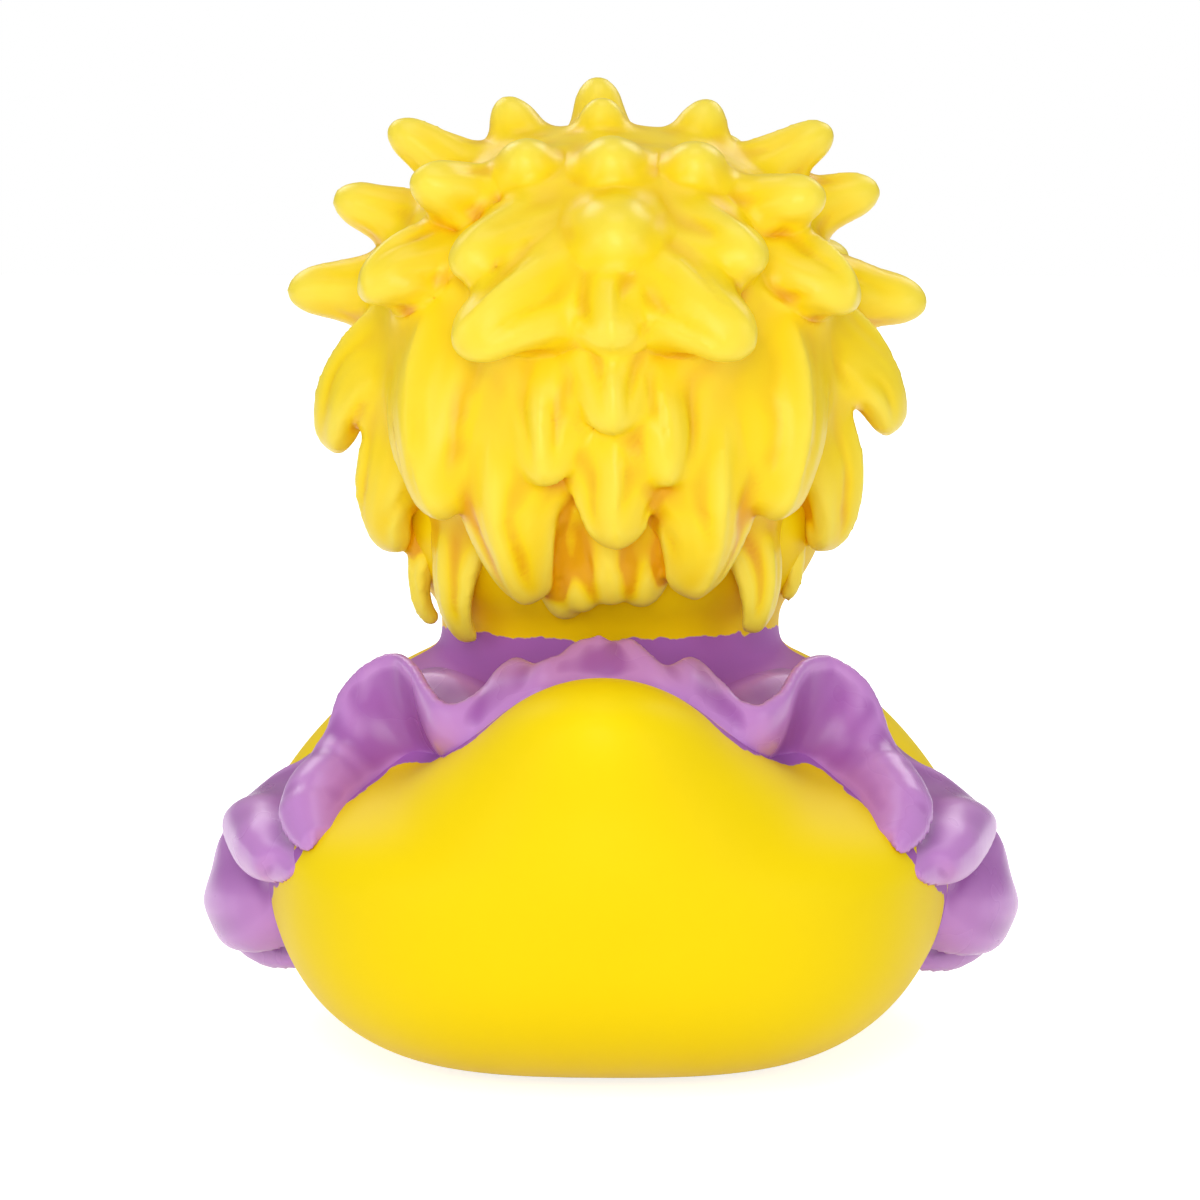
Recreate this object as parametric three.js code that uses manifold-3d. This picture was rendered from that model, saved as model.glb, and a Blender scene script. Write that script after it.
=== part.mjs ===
// A bath duck with spiky moulded hair and a painted ruffle, as a hollow vinyl moulding.
// The duck looks along -Y with its tail towards +Y. The origin is on the table, under the middle.
import * as THREE from 'three';
import { mergeVertices } from 'three/addons/utils/BufferGeometryUtils.js';
import Module from 'manifold-3d';

const wasm = await Module();
wasm.setup();

// Driving dimensions, in millimetres
const wall = 2.0; // thickness of the vinyl skin
const bodyHalfWidth = 33.5;
const bodyHalfLength = 36.0;
const bodyBelly = 19.6; // from the widest level down to where the round belly would end
const bodyFlat = 0.6; // how much of that belly is cut away by the flat base
const bodyBack = 12.0; // from the widest level up to the back
const bodySquareness = 2.45; // 2 is an ellipsoid, more is boxier
const bottomSquaring = 1.3; // how much boxier it gets straight below its middle
const chestHalfWidth = 34.0;
const chestHalfLength = 27.0;
const chestForward = 9.0; // the chest's middle in front of the body's
const chestRise = 23.5; // from the widest level up to the top of the chest
const tailLength = 43.5; // from the middle of the body to the tip of the tail
const tailSlope = 27.5; // degrees above the table
const tailHalfWidth = 13.0;
const tailHalfThickness = 9.5;
const rumpLength = 39.0; // the broad form under the tail, from the middle of the body
const rumpSlope = 16.0;
const rumpHalfWidth = 20.0;
const rumpHalfThickness = 13.0;
const formShare = 0.59; // share of such a form's length in front of its own middle
const blend = 13.0; // how tightly the body's forms flow together, more is tighter
const neckRadius = 17.0;
const neckOverlap = 6.0; // how far the neck reaches into the chest and the head
const headRadius = 23.0;
const headRise = 16.5; // the head's middle above the top of the chest
const headForward = 8.0;
const hairRadius = 22.5; // the cap of hair that the locks grow from
const hairRise = 9.5; // the cap's middle above the head's
const hairBackward = 5.0; // the cap's middle behind the head's
const lockDepth = 4.0; // how deep a lock is rooted in the cap
const lockTaper = 0.45; // share of its taper that a lock has done halfway along
const lockBluntness = 0.7; // of its round end, where 0 would be a sharp point
const billLength = 8.6; // out of the face
const billHalfWidth = 9.0;
const billThickness = 3.4;
const billDrop = 4.5; // below the head's middle
const billNarrowing = 0.15; // share of its width lost at the tip
const billThinning = 0.25; // share of its thickness lost at the tip, and gained at the face
const eyeHalfWidth = 3.6;
const eyeHalfHeight = 5.0;
const eyeRelief = 0.7; // how far an eye stands out of the face
const faceRoot = 1.0; // how deep the eyes and the bill are rooted in the face
const eyeSpread = 19.0; // degrees to each side
const eyeRise = 9.0; // degrees above the head's middle
const ruffleThickness = 2.0; // of its petals
const ruffleStandOut = 0.3; // of their free rims from the skin, where they come nearest
const ruffleBite = 1.2; // how deep their roots sit in the skin
const bandRise = 0.6; // of the low band under the petals
const bandBite = 1.5; // how deep the band's edges sit in the skin
const bandRooting = 0.15; // share of the way to the body's middle that its inside reaches
const squeakerRadius = 8.0; // of the hole in the base that the squeaker is pressed into
const squeakerGroove = 1.0; // how far the squeaker's two lips reach past that hole
const squeakerLip = 1.2; // thickness of each lip
const squeakerDepth = 9.0; // of its cup, above the upper lip
const squeakerWall = 1.2;
const squeakerAirHole = 1.2; // radius
const squeakerRecess = 1.5; // the floor of the base's hollow above the table
const reedLength = 6.0;
const reedWidth = 3.0;
const reedThickness = 0.4;
const seatHeight = 5.0; // of the plug that holds the reed
const fitGap = 0.3; // between the separate pieces
const overshoot = 1.0; // how far a cutting tool runs past what it cuts
const cutterSize = 400.0; // wider than the whole duck

// What follows from them
const widestLevel = bodyBelly - bodyFlat;
const bodyCentre = new THREE.Vector3(0, 0, widestLevel);
const chestTop = widestLevel + chestRise;
const headCentre = new THREE.Vector3(0, -headForward, chestTop + headRise);
const hairCentre = headCentre.clone().add(new THREE.Vector3(0, hairBackward, hairRise));

// Turns a closed three.js geometry, moved into place, into a solid.
function solidOf(geometry, matrix = new THREE.Matrix4()) {
  const placed = geometry.clone().applyMatrix4(matrix);
  placed.deleteAttribute('normal');
  placed.deleteAttribute('uv');
  const merged = mergeVertices(placed, 1e-4);
  const corners = Array.from(merged.index.array);
  const faces = [];
  for (let i = 0; i < corners.length; i += 3) {
    const [a, b, c] = corners.slice(i, i + 3);
    if (a !== b && b !== c && c !== a) faces.push(a, b, c);
  }
  return new wasm.Manifold(new wasm.Mesh({
    numProp: 3,
    vertProperties: new Float32Array(merged.attributes.position.array),
    triVerts: new Uint32Array(faces),
  }));
}

// Turns a solid back into a named mesh with its own material.
function meshOf(name, solid, colour, roughness) {
  const result = solid.getMesh();
  const geometry = new THREE.BufferGeometry();
  geometry.setAttribute('position', new THREE.BufferAttribute(result.vertProperties.slice(), 3));
  geometry.setIndex(new THREE.BufferAttribute(result.triVerts.slice(), 1));
  geometry.computeVertexNormals();
  const material = new THREE.MeshStandardMaterial({ color: colour, roughness, metalness: 0 });
  const mesh = new THREE.Mesh(geometry, material);
  mesh.name = name;
  return mesh;
}

// Moves every vertex of a geometry by a function of its old place.
function shape(geometry, place) {
  const position = geometry.attributes.position;
  const point = new THREE.Vector3();
  for (let i = 0; i < position.count; i += 1) {
    point.fromBufferAttribute(position, i);
    const moved = place(point);
    position.setXYZ(i, moved.x, moved.y, moved.z);
  }
  return geometry;
}

// Distance from a point inside a superellipsoid's middle out to its skin, along a direction.
function reachFromMiddle(direction, sizes, squareness) {
  const sum = (Math.abs(direction.x) / sizes.x) ** squareness
    + (Math.abs(direction.y) / sizes.y) ** squareness
    + (Math.abs(direction.z) / sizes.z) ** squareness;
  return sum ** (-1 / squareness);
}

// Distance from a point inside an ellipsoid, but off its middle, out to its skin.
function reachFromInside(direction, offset, sizes) {
  const d = direction.clone().divide(sizes);
  const o = offset.clone().divide(sizes);
  const a = d.dot(d);
  const b = d.dot(o);
  const c = o.dot(o) - 1;
  return (b + Math.sqrt(b * b - a * c)) / a;
}

// Reach of the whole body from its middle: body, chest, rump and tail, flowing together.
const bodySizesBelow = new THREE.Vector3(bodyHalfWidth, bodyHalfLength, bodyBelly);
const bodySizesAbove = new THREE.Vector3(bodyHalfWidth, bodyHalfLength, bodyBack);
const chestOffset = new THREE.Vector3(0, -chestForward, 0);
const chestSizes = new THREE.Vector3(chestHalfWidth, chestHalfLength, chestRise);
const acrossAxis = new THREE.Vector3(1, 0, 0);
function reachOfTiltedForm(direction, length, slope, halfWidth, halfThickness) {
  const turned = direction.clone().applyAxisAngle(acrossAxis, -THREE.MathUtils.degToRad(slope));
  const sizes = new THREE.Vector3(halfWidth, length * formShare, halfThickness);
  return reachFromInside(turned, new THREE.Vector3(0, length - sizes.y, 0), sizes);
}
function bodyReach(direction) {
  const trunkSizes = direction.z < 0 ? bodySizesBelow : bodySizesAbove;
  const squareness = bodySquareness + bottomSquaring * Math.min(direction.z, 0) ** 2;
  const trunk = reachFromMiddle(direction, trunkSizes, squareness);
  const chest = reachFromInside(direction, chestOffset, chestSizes);
  const tail = reachOfTiltedForm(direction, tailLength, tailSlope, tailHalfWidth, tailHalfThickness);
  const rump = reachOfTiltedForm(direction, rumpLength, rumpSlope, rumpHalfWidth, rumpHalfThickness);
  return (trunk ** blend + chest ** blend + tail ** blend + rump ** blend) ** (1 / blend);
}

// The body's skin, or with an inset the hollow inside it.
function bodySolid(inset, around, down) {
  const sphere = new THREE.SphereGeometry(1, around, down).rotateX(Math.PI / 2);
  return solidOf(shape(sphere, (p) => {
    const direction = p.clone().normalize();
    return direction.clone().multiplyScalar(bodyReach(direction) - inset).add(bodyCentre);
  }));
}

function ball(centre, sizes, around, down) {
  const matrix = new THREE.Matrix4().makeTranslation(centre).scale(sizes);
  return solidOf(new THREE.SphereGeometry(1, around, down).rotateX(Math.PI / 2), matrix);
}

// An upright round bar between two heights.
function upright(centre, radius, low, high, around = 24) {
  const bar = new THREE.CylinderGeometry(radius, radius, high - low, around).rotateX(Math.PI / 2);
  return solidOf(bar, new THREE.Matrix4().makeTranslation(centre.x, centre.y, (low + high) / 2));
}

// Unit vector for an azimuth from the duck's back (+Y) towards +X, and an elevation, in degrees.
function heading(azimuth, elevation) {
  const a = THREE.MathUtils.degToRad(azimuth);
  const e = THREE.MathUtils.degToRad(elevation);
  return new THREE.Vector3(Math.sin(a) * Math.cos(e), Math.cos(a) * Math.cos(e), Math.sin(e));
}

// Locks of hair: azimuth and elevation of the root, the same of the tip, how far the tip stands
// out of the cap, and the radius at the root and at the blunt tip.
const locks = [
  // crown, standing up
  [174, 69, 172, 68, 7.7, 5.6, 2],
  [27, 87, 11, 83, 4.4, 4.8, 2.1],
  [98, 69, 105, 67, 6.2, 5.6, 2],
  [-97, 68, -107, 68, 5.8, 5.6, 2.1],
  [46, 60, 28, 53, 5, 5.8, 2.8],
  [-3, 63, -2, 53, 5, 6.2, 3.1],
  [-49, 58, -30, 52, 5, 5.8, 3],
  // sides, standing out
  [94, 55, 93, 47, 9.9, 6, 2],
  [-103, 54, -98, 46, 9.9, 6.2, 2],
  [52, 50, 51, 39, 8.4, 6.2, 2.4],
  [-56, 47, -55, 35, 8.8, 6.2, 2.4],
  [105, 36, 100, 30, 10.2, 6.2, 2.2],
  [-107, 40, -101, 32, 10, 6.2, 2.2],
  [98, 19, 95, 12, 10.8, 6.8, 2.3],
  [-99, 20, -96, 10, 10, 6.8, 2.3],
  [59, 32, 55, 15, 5.8, 6.4, 2.6],
  [-60, 32, -56, 13, 5.8, 6.4, 2.6],
  // back of the head, standing out and drooping
  [-3, 38, -3, 30, 6.4, 7.2, 4.2],
  [25, 42, 32, 23, 6.8, 7.2, 2.8],
  [-28, 41, -34, 24, 7, 7.2, 2.7],
  [10, 27, 29, 7, 6.6, 7.2, 2.4],
  [-12, 27, -29, 7, 6.6, 7.2, 2.4],
  [-1, 27, -2, 8, 5.2, 5.8, 2],
  // hanging at the sides
  [78, 9, 87, -18, 5.7, 7, 2],
  [-80, 11, -88, -14, 5.8, 7, 1.9],
  [70, -12, 78, -41, 5.2, 6.6, 2.1],
  [-72, -10, -80, -41, 5, 6.6, 2.1],
  // hanging at the back
  [-1, 14, -2, -9, 4.4, 6.4, 1.6],
  [48, 10, 39, -29, 5, 7.6, 2.1],
  [-49, 9, -41, -29, 5, 7.6, 2.1],
  [14, 6, 13, -21, 4, 6.6, 1.4],
  [-12, 6, -14, -21, 4, 6.6, 1.4],
  [-2, -6, -3, -35, 4.7, 6.2, 1.9],
  [26, -10, 24, -51, 5.2, 7.6, 1.9],
  [-27, -10, -26, -49, 5.2, 7.6, 2],
  [12, -36, 17, -60, 5, 5.2, 2.2],
  [0, -34, -2, -54, 4.8, 5.6, 2.6],
  [-10, -36, -13, -55, 4.8, 5.4, 2.4],
  [56, -37, 60, -60, 8.4, 4.6, 1.2],
  [-54, -37, -54, -56, 8.2, 4.6, 1.2],
  [8, -40, 9, -56, 5.2, 4.4, 2.2],
];
// The front of the head mirrors left and right.
const frontLocks = [
  [140, 52, 142, 46, 7, 5, 2],
  [126, 24, 124, 18, 8, 5.2, 2.1],
  [150, 30, 152, 26, 6.6, 5, 2.1],
  [106, 2, 108, -8, 6, 5, 2.3],
  [165, 14, 168, -1, 4.6, 5, 2.1],
  [142, 9, 146, -7, 5.4, 5, 2.2],
  [118, -10, 122, -28, 7.4, 4.8, 2.2],
  [98, -16, 100, -40, 5, 4.8, 2.6],
];
const middleFrontLocks = [
  [180, 48, 180, 42, 7.2, 5, 2],
  [180, 24, 180, 14, 6.4, 5, 2.2],
];

const notAlongAnyLock = new THREE.Vector3(0.13, 0.99, 0.05);

// One lock: a lathed cone with a blunt tip, its axis laid along a curve that leaves the cap
// and bends over to the tip.
function lockSolid([rootAzimuth, rootElevation, tipAzimuth, tipElevation, reach, rootRadius, tipRadius]) {
  const rootDistance = hairRadius - lockDepth;
  const tipDistance = hairRadius + reach;
  const axisAt = (t) => {
    const azimuth = THREE.MathUtils.lerp(rootAzimuth, tipAzimuth, t);
    const elevation = THREE.MathUtils.lerp(rootElevation, tipElevation, t);
    const distance = THREE.MathUtils.lerp(rootDistance, tipDistance, Math.sin(t * Math.PI / 2));
    return heading(azimuth, elevation).multiplyScalar(distance).add(hairCentre);
  };
  const length = axisAt(0).distanceTo(axisAt(0.5)) + axisAt(0.5).distanceTo(axisAt(1));
  const bluntFrom = Math.max(0.5, 1 - tipRadius / length);
  const profile = [
    new THREE.Vector2(0, 0),
    new THREE.Vector2(rootRadius, 0),
    new THREE.Vector2(THREE.MathUtils.lerp(rootRadius, tipRadius, lockTaper), bluntFrom / 2),
    new THREE.Vector2(tipRadius, bluntFrom),
    new THREE.Vector2(tipRadius * lockBluntness, bluntFrom + (1 - bluntFrom) * lockBluntness),
    new THREE.Vector2(0, 1),
  ];
  const sides = 7;
  const step = 0.02;
  const cone = new THREE.LatheGeometry(profile, sides);
  return solidOf(shape(cone, (p) => {
    const t = THREE.MathUtils.clamp(p.y, 0, 1);
    const along = axisAt(Math.min(t + step, 1)).sub(axisAt(Math.max(t - step, 0))).normalize();
    const side = new THREE.Vector3().crossVectors(along, notAlongAnyLock).normalize();
    const up = new THREE.Vector3().crossVectors(side, along);
    return axisAt(t).addScaledVector(side, p.x).addScaledVector(up, p.z);
  }));
}

function hairSolid() {
  let hair = ball(hairCentre, new THREE.Vector3(hairRadius, hairRadius, hairRadius), 20, 14);
  const mirrored = frontLocks.map(([ra, re, ta, ...rest]) => [-ra, re, -ta, ...rest]);
  for (const lock of [...locks, ...middleFrontLocks, ...frontLocks, ...mirrored]) {
    hair = hair.add(lockSolid(lock));
  }
  return hair;
}

// The ruffle, in hundredths of the body's half width, its half length and the chest's height. A
// petal is a thick sheet between its free rim and its root in the skin. Its bulge is a share of its
// height, given at even steps along it. The nape's and the breast's petals start on the middle.
const napePetal = {
  rim: [
    [0, 44, 102], [9, 47, 102], [17, 56, 98], [26, 46, 98], [33, 51, 93], [39, 56, 90], [45, 57, 89],
    [51, 50, 91], [58, 35, 96], [64, 24, 96], [73, 18, 92], [80, 15, 85], [84, 17, 77], [88, 21, 72],
    [93, 28, 67], [96, 36, 62], [94, 44, 57], [89, 54, 55], [84, 57, 55], [81, 56, 56],
  ],
  root: [
    [0, 53, 87], [18, 60, 86], [34, 64, 82], [46, 53, 77], [57, 26, 75], [64, 26, 70], [70, 32, 66],
    [75, 42, 63], [78, 53, 59], [81, 55, 57],
  ],
  bulge: [0, 0.05, 0.05, 0.1, 0, 0.1, 0.25, 0.3, 0.25, 0.2],
};
const skirtPetal = {
  rim: [
    [0, -106, 20], [9, -104, 18], [22, -107, 28], [41, -101, 17], [59, -105, 27], [76, -93, 16],
    [92, -90, 26], [101, -74, 15], [109, -66, 24], [110, -48, 15], [118, -46, 24], [113, -25, 31],
  ],
  root: [
    [0, -94, 18], [8, -93, 18], [18, -92, 18], [31, -91, 18], [46, -87, 19], [60, -82, 19],
    [73, -75, 20], [85, -66, 21], [93, -56, 22], [97, -44, 23], [99, -33, 24], [100, -22, 28],
  ],
  bulge: [0.05, 0.05],
};
const shoulderPetal = {
  rim: [
    [85, 8, 71], [97, -14, 64], [107, -22, 56], [115, -18, 51], [116, -3, 49], [112, 14, 47],
    [106, 26, 44], [99, 35, 44], [93, 43, 45], [87, 51, 48],
  ],
  root: [
    [85, 11, 69], [88, 8, 65], [90, 11, 63], [90, 17, 60], [90, 25, 58], [89, 32, 56], [88, 38, 55],
    [87, 43, 53], [86, 48, 52], [85, 51, 50],
  ],
  bulge: [0, 0.02, 0.04, 0.08, 0.14, 0.2, 0.26, 0.3, 0.2, 0.1],
};
const sidePetal = {
  rim: [
    [101, -11, 56], [112, -27, 51], [119, -27, 44], [122, -26, 36], [122, -28, 29], [121, -26, 23],
    [115, -17, 20], [107, -6, 20], [100, 3, 23],
  ],
  root: [
    [100, -8, 53], [100, -3, 48], [100, 4, 44], [100, 10, 39], [100, 11, 34], [99, 11, 30], [99, 8, 27],
    [98, 7, 25], [98, 6, 24],
  ],
  bulge: [0, 0.04, 0.08, 0.1, 0.1, 0.08, 0.06],
};
const lowPetal = {
  rim: [
    [107, -22, 33], [116, -39, 29], [118, -39, 22], [113, -31, 17], [107, -19, 15], [99, -8, 16],
    [93, 0, 18],
  ],
  root: [
    [100, -17, 34], [100, -17, 30], [99, -14, 26], [98, -11, 24], [97, -7, 22], [95, -3, 20],
    [93, 0, 19],
  ],
  bulge: [0, 0.05, 0.1, 0.05],
};
// The low band under the petals, from its edge on the body up to its edge on the neck.
const bandFoot = [
  [0, 52, 88], [36, 62, 80], [60, 26, 72], [74, 38, 64], [87, 48, 53], [95, 38, 47],
  [101, 14, 38], [98, 2, 22], [84, -48, 17], [50, -80, 15], [0, -97, 14],
];
const bandTop = [
  [0, 24, 100], [28, 16, 99], [52, -12, 93], [74, -16, 76], [88, -16, 60], [94, -22, 50],
  [95, -34, 40], [92, -46, 34], [78, -68, 30], [46, -88, 28], [0, -97, 27],
];

// A curve through one side's points and their mirror images: a loop, or a row over the middle.
function curveOver(points, closed) {
  const unit = new THREE.Vector3(bodyHalfWidth, bodyHalfLength, chestTop).divideScalar(100);
  const placed = points.map(([x, y, z]) => new THREE.Vector3(x, y, z).multiply(unit));
  return new THREE.CatmullRomCurve3(placed, closed, 'catmullrom', 0.5);
}
function otherSide(points) {
  return points.map(([x, y, z]) => [-x, y, z]);
}
function loopThrough(side) {
  return curveOver([...side, ...otherSide(side.slice(1, -1)).reverse()], true);
}
function overMiddle({ rim, root, bulge }) {
  return {
    rim: [...rim.slice(1).reverse(), ...otherSide(rim)],
    root: [...root.slice(1).reverse(), ...otherSide(root)],
    bulge: [...bulge.slice(1).reverse(), ...bulge],
  };
}

// Moves a point straight away from the body's middle until it stands so far out of the skin. With
// atLeast, a point that stands further out already stays there.
function standingOut(point, distance, atLeast = false) {
  const arm = point.clone().sub(bodyCentre);
  const reach = arm.length();
  const wanted = bodyReach(arm.clone().normalize()) + distance;
  return arm.setLength(atLeast ? Math.max(reach, wanted) : wanted).add(bodyCentre);
}

// One petal: its height goes by a cosine across it and its thickness by a sine, so that its edges
// are round, and its middle bulges out by a parabola. Both ends close to a point.
function petalSolid({ rim, root, bulge }, along, across = 6) {
  const rimCurve = curveOver(rim, false);
  const rootCurve = curveOver(root, false);
  const rows = [];
  for (let i = 0; i <= along; i += 1) {
    const free = standingOut(rimCurve.getPoint(i / along), ruffleStandOut, true);
    const held = standingOut(rootCurve.getPoint(i / along), -ruffleBite);
    rows.push({ free, held, height: free.clone().sub(held) });
  }
  let facing = 0;
  rows.forEach((row, i) => {
    const before = rows[Math.max(i - 1, 0)];
    const after = rows[Math.min(i + 1, along)];
    const run = after.free.clone().sub(before.free).add(after.held).sub(before.held);
    row.outward = run.cross(row.height).normalize();
    facing += row.outward.dot(row.free.clone().add(row.held).addScaledVector(bodyCentre, -2));
    const at = i / along * (bulge.length - 1);
    const low = Math.min(Math.floor(at), bulge.length - 2);
    row.swell = THREE.MathUtils.lerp(bulge[low], bulge[low + 1], at - low) * row.height.length();
  });
  const ball = new THREE.SphereGeometry(1, across, along);
  return solidOf(shape(ball, (p) => {
    const i = Math.round(Math.acos(THREE.MathUtils.clamp(p.y, -1, 1)) / Math.PI * along);
    const { held, height, outward, swell } = rows[i];
    const end = i === 0 || i === along;
    const turn = end ? Math.PI / 2 : -Math.sign(facing) * Math.atan2(p.z, p.x);
    const level = (1 - Math.cos(turn)) / 2;
    const thick = end ? 0 : ruffleThickness / 2 * Math.sin(turn);
    const off = Math.sign(facing) * (thick + swell * 4 * level * (1 - level));
    return held.clone().addScaledVector(height, level).addScaledVector(outward, off);
  }));
}

// The band: a ring whose section runs from its foot over its low relief to its top and back inside.
function bandSolid() {
  const foot = loopThrough(bandFoot);
  const top = loopThrough(bandTop);
  const around = foot.points.length;
  const ring = new THREE.TorusGeometry(1, 0.3, 4, around);
  return solidOf(shape(ring, (p) => {
    const turn = (Math.atan2(p.y, p.x) / (2 * Math.PI) + 1) % 1;
    const across = Math.round((Math.atan2(p.z, Math.hypot(p.x, p.y) - 1) / (2 * Math.PI) + 1) * 4) % 4;
    const u = Math.round(turn * around) % around / around;
    const f = standingOut(foot.getPoint(u), -bandBite);
    const n = standingOut(top.getPoint(u), -bandBite);
    const middle = f.clone().lerp(n, 0.5);
    const section = [standingOut(middle, bandRise), f, middle.clone().lerp(bodyCentre, bandRooting), n];
    return section[across];
  }));
}

function ruffleSolid() {
  let sides = petalSolid(shoulderPetal, 14).add(petalSolid(sidePetal, 12)).add(petalSolid(lowPetal, 8));
  sides = sides.add(sides.mirror([1, 0, 0]));
  return sides
    .add(petalSolid(overMiddle(napePetal), 44))
    .add(petalSolid(overMiddle(skirtPetal), 34))
    .add(bandSolid());
}

// A rounded bill: a flattened ball, wider at the face, its middle at the face's skin.
function billSolid() {
  const sphere = new THREE.SphereGeometry(1, 16, 10);
  const middle = headCentre.clone().add(new THREE.Vector3(0, faceRoot - headRadius, -billDrop));
  return solidOf(shape(sphere, (p) => new THREE.Vector3(
    p.x * billHalfWidth * (1 - billNarrowing * Math.max(-p.y, 0)),
    p.y * (billLength + faceRoot),
    p.z * billThickness * (1 + billThinning * p.y),
  ).add(middle)));
}

function eyeSolid(side) {
  const out = heading(180 - side * eyeSpread, eyeRise);
  const turn = new THREE.Quaternion().setFromUnitVectors(new THREE.Vector3(0, -1, 0), out);
  const place = headCentre.clone().addScaledVector(out, headRadius - faceRoot);
  const sizes = new THREE.Vector3(eyeHalfWidth, eyeRelief + faceRoot, eyeHalfHeight);
  return solidOf(new THREE.SphereGeometry(1, 12, 8), new THREE.Matrix4().compose(place, turn, sizes));
}

// A pocket shut in between petals would be a surface of its own, with a negative volume.
function withoutVoids(solid) {
  return wasm.Manifold.compose(solid.decompose().filter((surface) => surface.volume() > 0));
}

// The one-piece moulding: all the outer forms joined, cut flat below, hollow inside, with the
// squeaker's hole in its base. The base is moulded up round that hole.
function blockBelow(height) {
  const block = new THREE.BoxGeometry(cutterSize, cutterSize, cutterSize);
  return solidOf(block, new THREE.Matrix4().makeTranslation(0, 0, height - cutterSize / 2));
}
function shellSolid() {
  const neckLow = chestTop - neckOverlap;
  const neckHigh = headCentre.z - headRadius + 2 * neckOverlap;
  const outer = bodySolid(0, 32, 20)
    .add(upright(headCentre, neckRadius, neckLow, neckHigh, 28))
    .add(ball(headCentre, new THREE.Vector3(headRadius, headRadius, headRadius), 28, 18))
    .add(hairSolid())
    .add(ruffleSolid())
    .add(billSolid())
    .add(eyeSolid(1))
    .add(eyeSolid(-1));
  const floor = squeakerRecess + squeakerLip + fitGap + wall;
  const hollowHead = headRadius - wall;
  const hollow = bodySolid(wall, 24, 16)
    .subtract(blockBelow(floor))
    .add(upright(headCentre, neckRadius - wall, neckLow, neckHigh, 20))
    .add(ball(headCentre, new THREE.Vector3(hollowHead, hollowHead, hollowHead), 20, 12));
  const base = new THREE.Vector3(0, 0, 0);
  const recessRadius = squeakerRadius + squeakerGroove + 2 * fitGap;
  const recess = upright(base, recessRadius, -overshoot, floor - wall, 24);
  const hole = upright(base, squeakerRadius, -overshoot, floor + overshoot, 24);
  return withoutVoids(outer.subtract(blockBelow(0)).subtract(hollow).subtract(recess).subtract(hole));
}

// The squeaker: a cup pressed into the base from below, with a lip on each side of the vinyl.
const lipTop = squeakerRecess + squeakerLip;
const upperLipLow = lipTop + fitGap + wall + fitGap;
const cupTop = upperLipLow + squeakerDepth;
function squeakerHousing() {
  const lipRadius = squeakerRadius + squeakerGroove;
  const neck = squeakerRadius - fitGap;
  const bore = squeakerRadius - squeakerWall - fitGap;
  const profile = [
    [squeakerAirHole, squeakerRecess], [lipRadius, squeakerRecess], [lipRadius, lipTop],
    [neck, lipTop], [neck, upperLipLow], [lipRadius, upperLipLow], [neck, upperLipLow + squeakerLip],
    [neck, cupTop], [bore, cupTop], [bore, lipTop], [squeakerAirHole, lipTop],
    [squeakerAirHole, squeakerRecess],
  ].map(([r, z]) => new THREE.Vector2(r, z));
  return solidOf(new THREE.LatheGeometry(profile, 28).rotateX(Math.PI / 2));
}

// The reed's seat: a plug in the cup's mouth with a flat trough through it.
const seatLow = cupTop - seatHeight;
function reedSeat() {
  const bore = squeakerRadius - squeakerWall - 2 * fitGap;
  const plug = upright(new THREE.Vector3(), bore, seatLow, cupTop, 28);
  const trough = solidOf(
    new THREE.BoxGeometry(reedWidth + 2 * fitGap, reedThickness + 4 * fitGap, 4 * seatHeight),
    new THREE.Matrix4().makeTranslation(0, 0, seatLow),
  );
  return plug.subtract(trough);
}

// The reed: a thin strip that stands in the trough and flutters in the air stream.
function reed() {
  return solidOf(
    new THREE.BoxGeometry(reedWidth, reedThickness, reedLength),
    new THREE.Matrix4().makeTranslation(0, 0, cupTop - reedLength / 2),
  );
}

const duck = new THREE.Group();
duck.add(
  meshOf('duck_shell', shellSolid(), '#ffdf00', 0.45),
  meshOf('squeaker_housing', squeakerHousing(), '#f2f0e8', 0.4),
  meshOf('squeaker_reed_seat', reedSeat(), '#e9e6da', 0.4),
  meshOf('squeaker_reed', reed(), '#d8cfae', 0.3),
);

export default duck;
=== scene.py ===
"""A bath duck of painted soft vinyl, with spiky moulded hair and a ruffle, seen from behind."""
import math

import bpy
import numpy as np
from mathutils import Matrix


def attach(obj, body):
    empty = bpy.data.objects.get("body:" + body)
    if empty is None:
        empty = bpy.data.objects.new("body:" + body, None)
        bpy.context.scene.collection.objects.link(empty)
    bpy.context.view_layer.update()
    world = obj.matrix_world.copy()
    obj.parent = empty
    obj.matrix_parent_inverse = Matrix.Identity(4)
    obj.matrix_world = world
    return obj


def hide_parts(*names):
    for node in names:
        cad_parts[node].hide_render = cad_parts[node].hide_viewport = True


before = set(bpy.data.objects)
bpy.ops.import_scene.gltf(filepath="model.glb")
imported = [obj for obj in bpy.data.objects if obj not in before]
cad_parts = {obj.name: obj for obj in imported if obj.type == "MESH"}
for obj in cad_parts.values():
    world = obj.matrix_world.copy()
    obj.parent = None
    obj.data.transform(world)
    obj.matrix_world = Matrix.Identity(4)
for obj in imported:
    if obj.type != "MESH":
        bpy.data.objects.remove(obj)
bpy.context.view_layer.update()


# THE SKIN
# One hollow rotation moulding of soft yellow vinyl: body, upturned tail, neck and head.
# Its forms are worked out as distances from a middle, then flow together as they do in a mould.
MM = 0.001
POLE = 0.001  # the radius at a pole, small enough that the weld all but closes it
BODY_MIDDLE = np.array([0.0, 0.0, 19.0])
BODY_HALF_WIDTH = 33.5
BODY_HALF_LENGTH = 36.0
BODY_BELLY = 19.6  # from the widest level down to where the round belly would end
BODY_BACK = 12.0  # from the widest level up to the back
BODY_SQUARENESS = 2.45  # 2 is an ellipsoid, more is boxier
BOTTOM_SQUARING = 1.3  # how much boxier it gets straight below its middle
CHEST_FORWARD = 9.0  # the chest's middle in front of the body's
CHEST_HALF_WIDTH = 34.0
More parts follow.
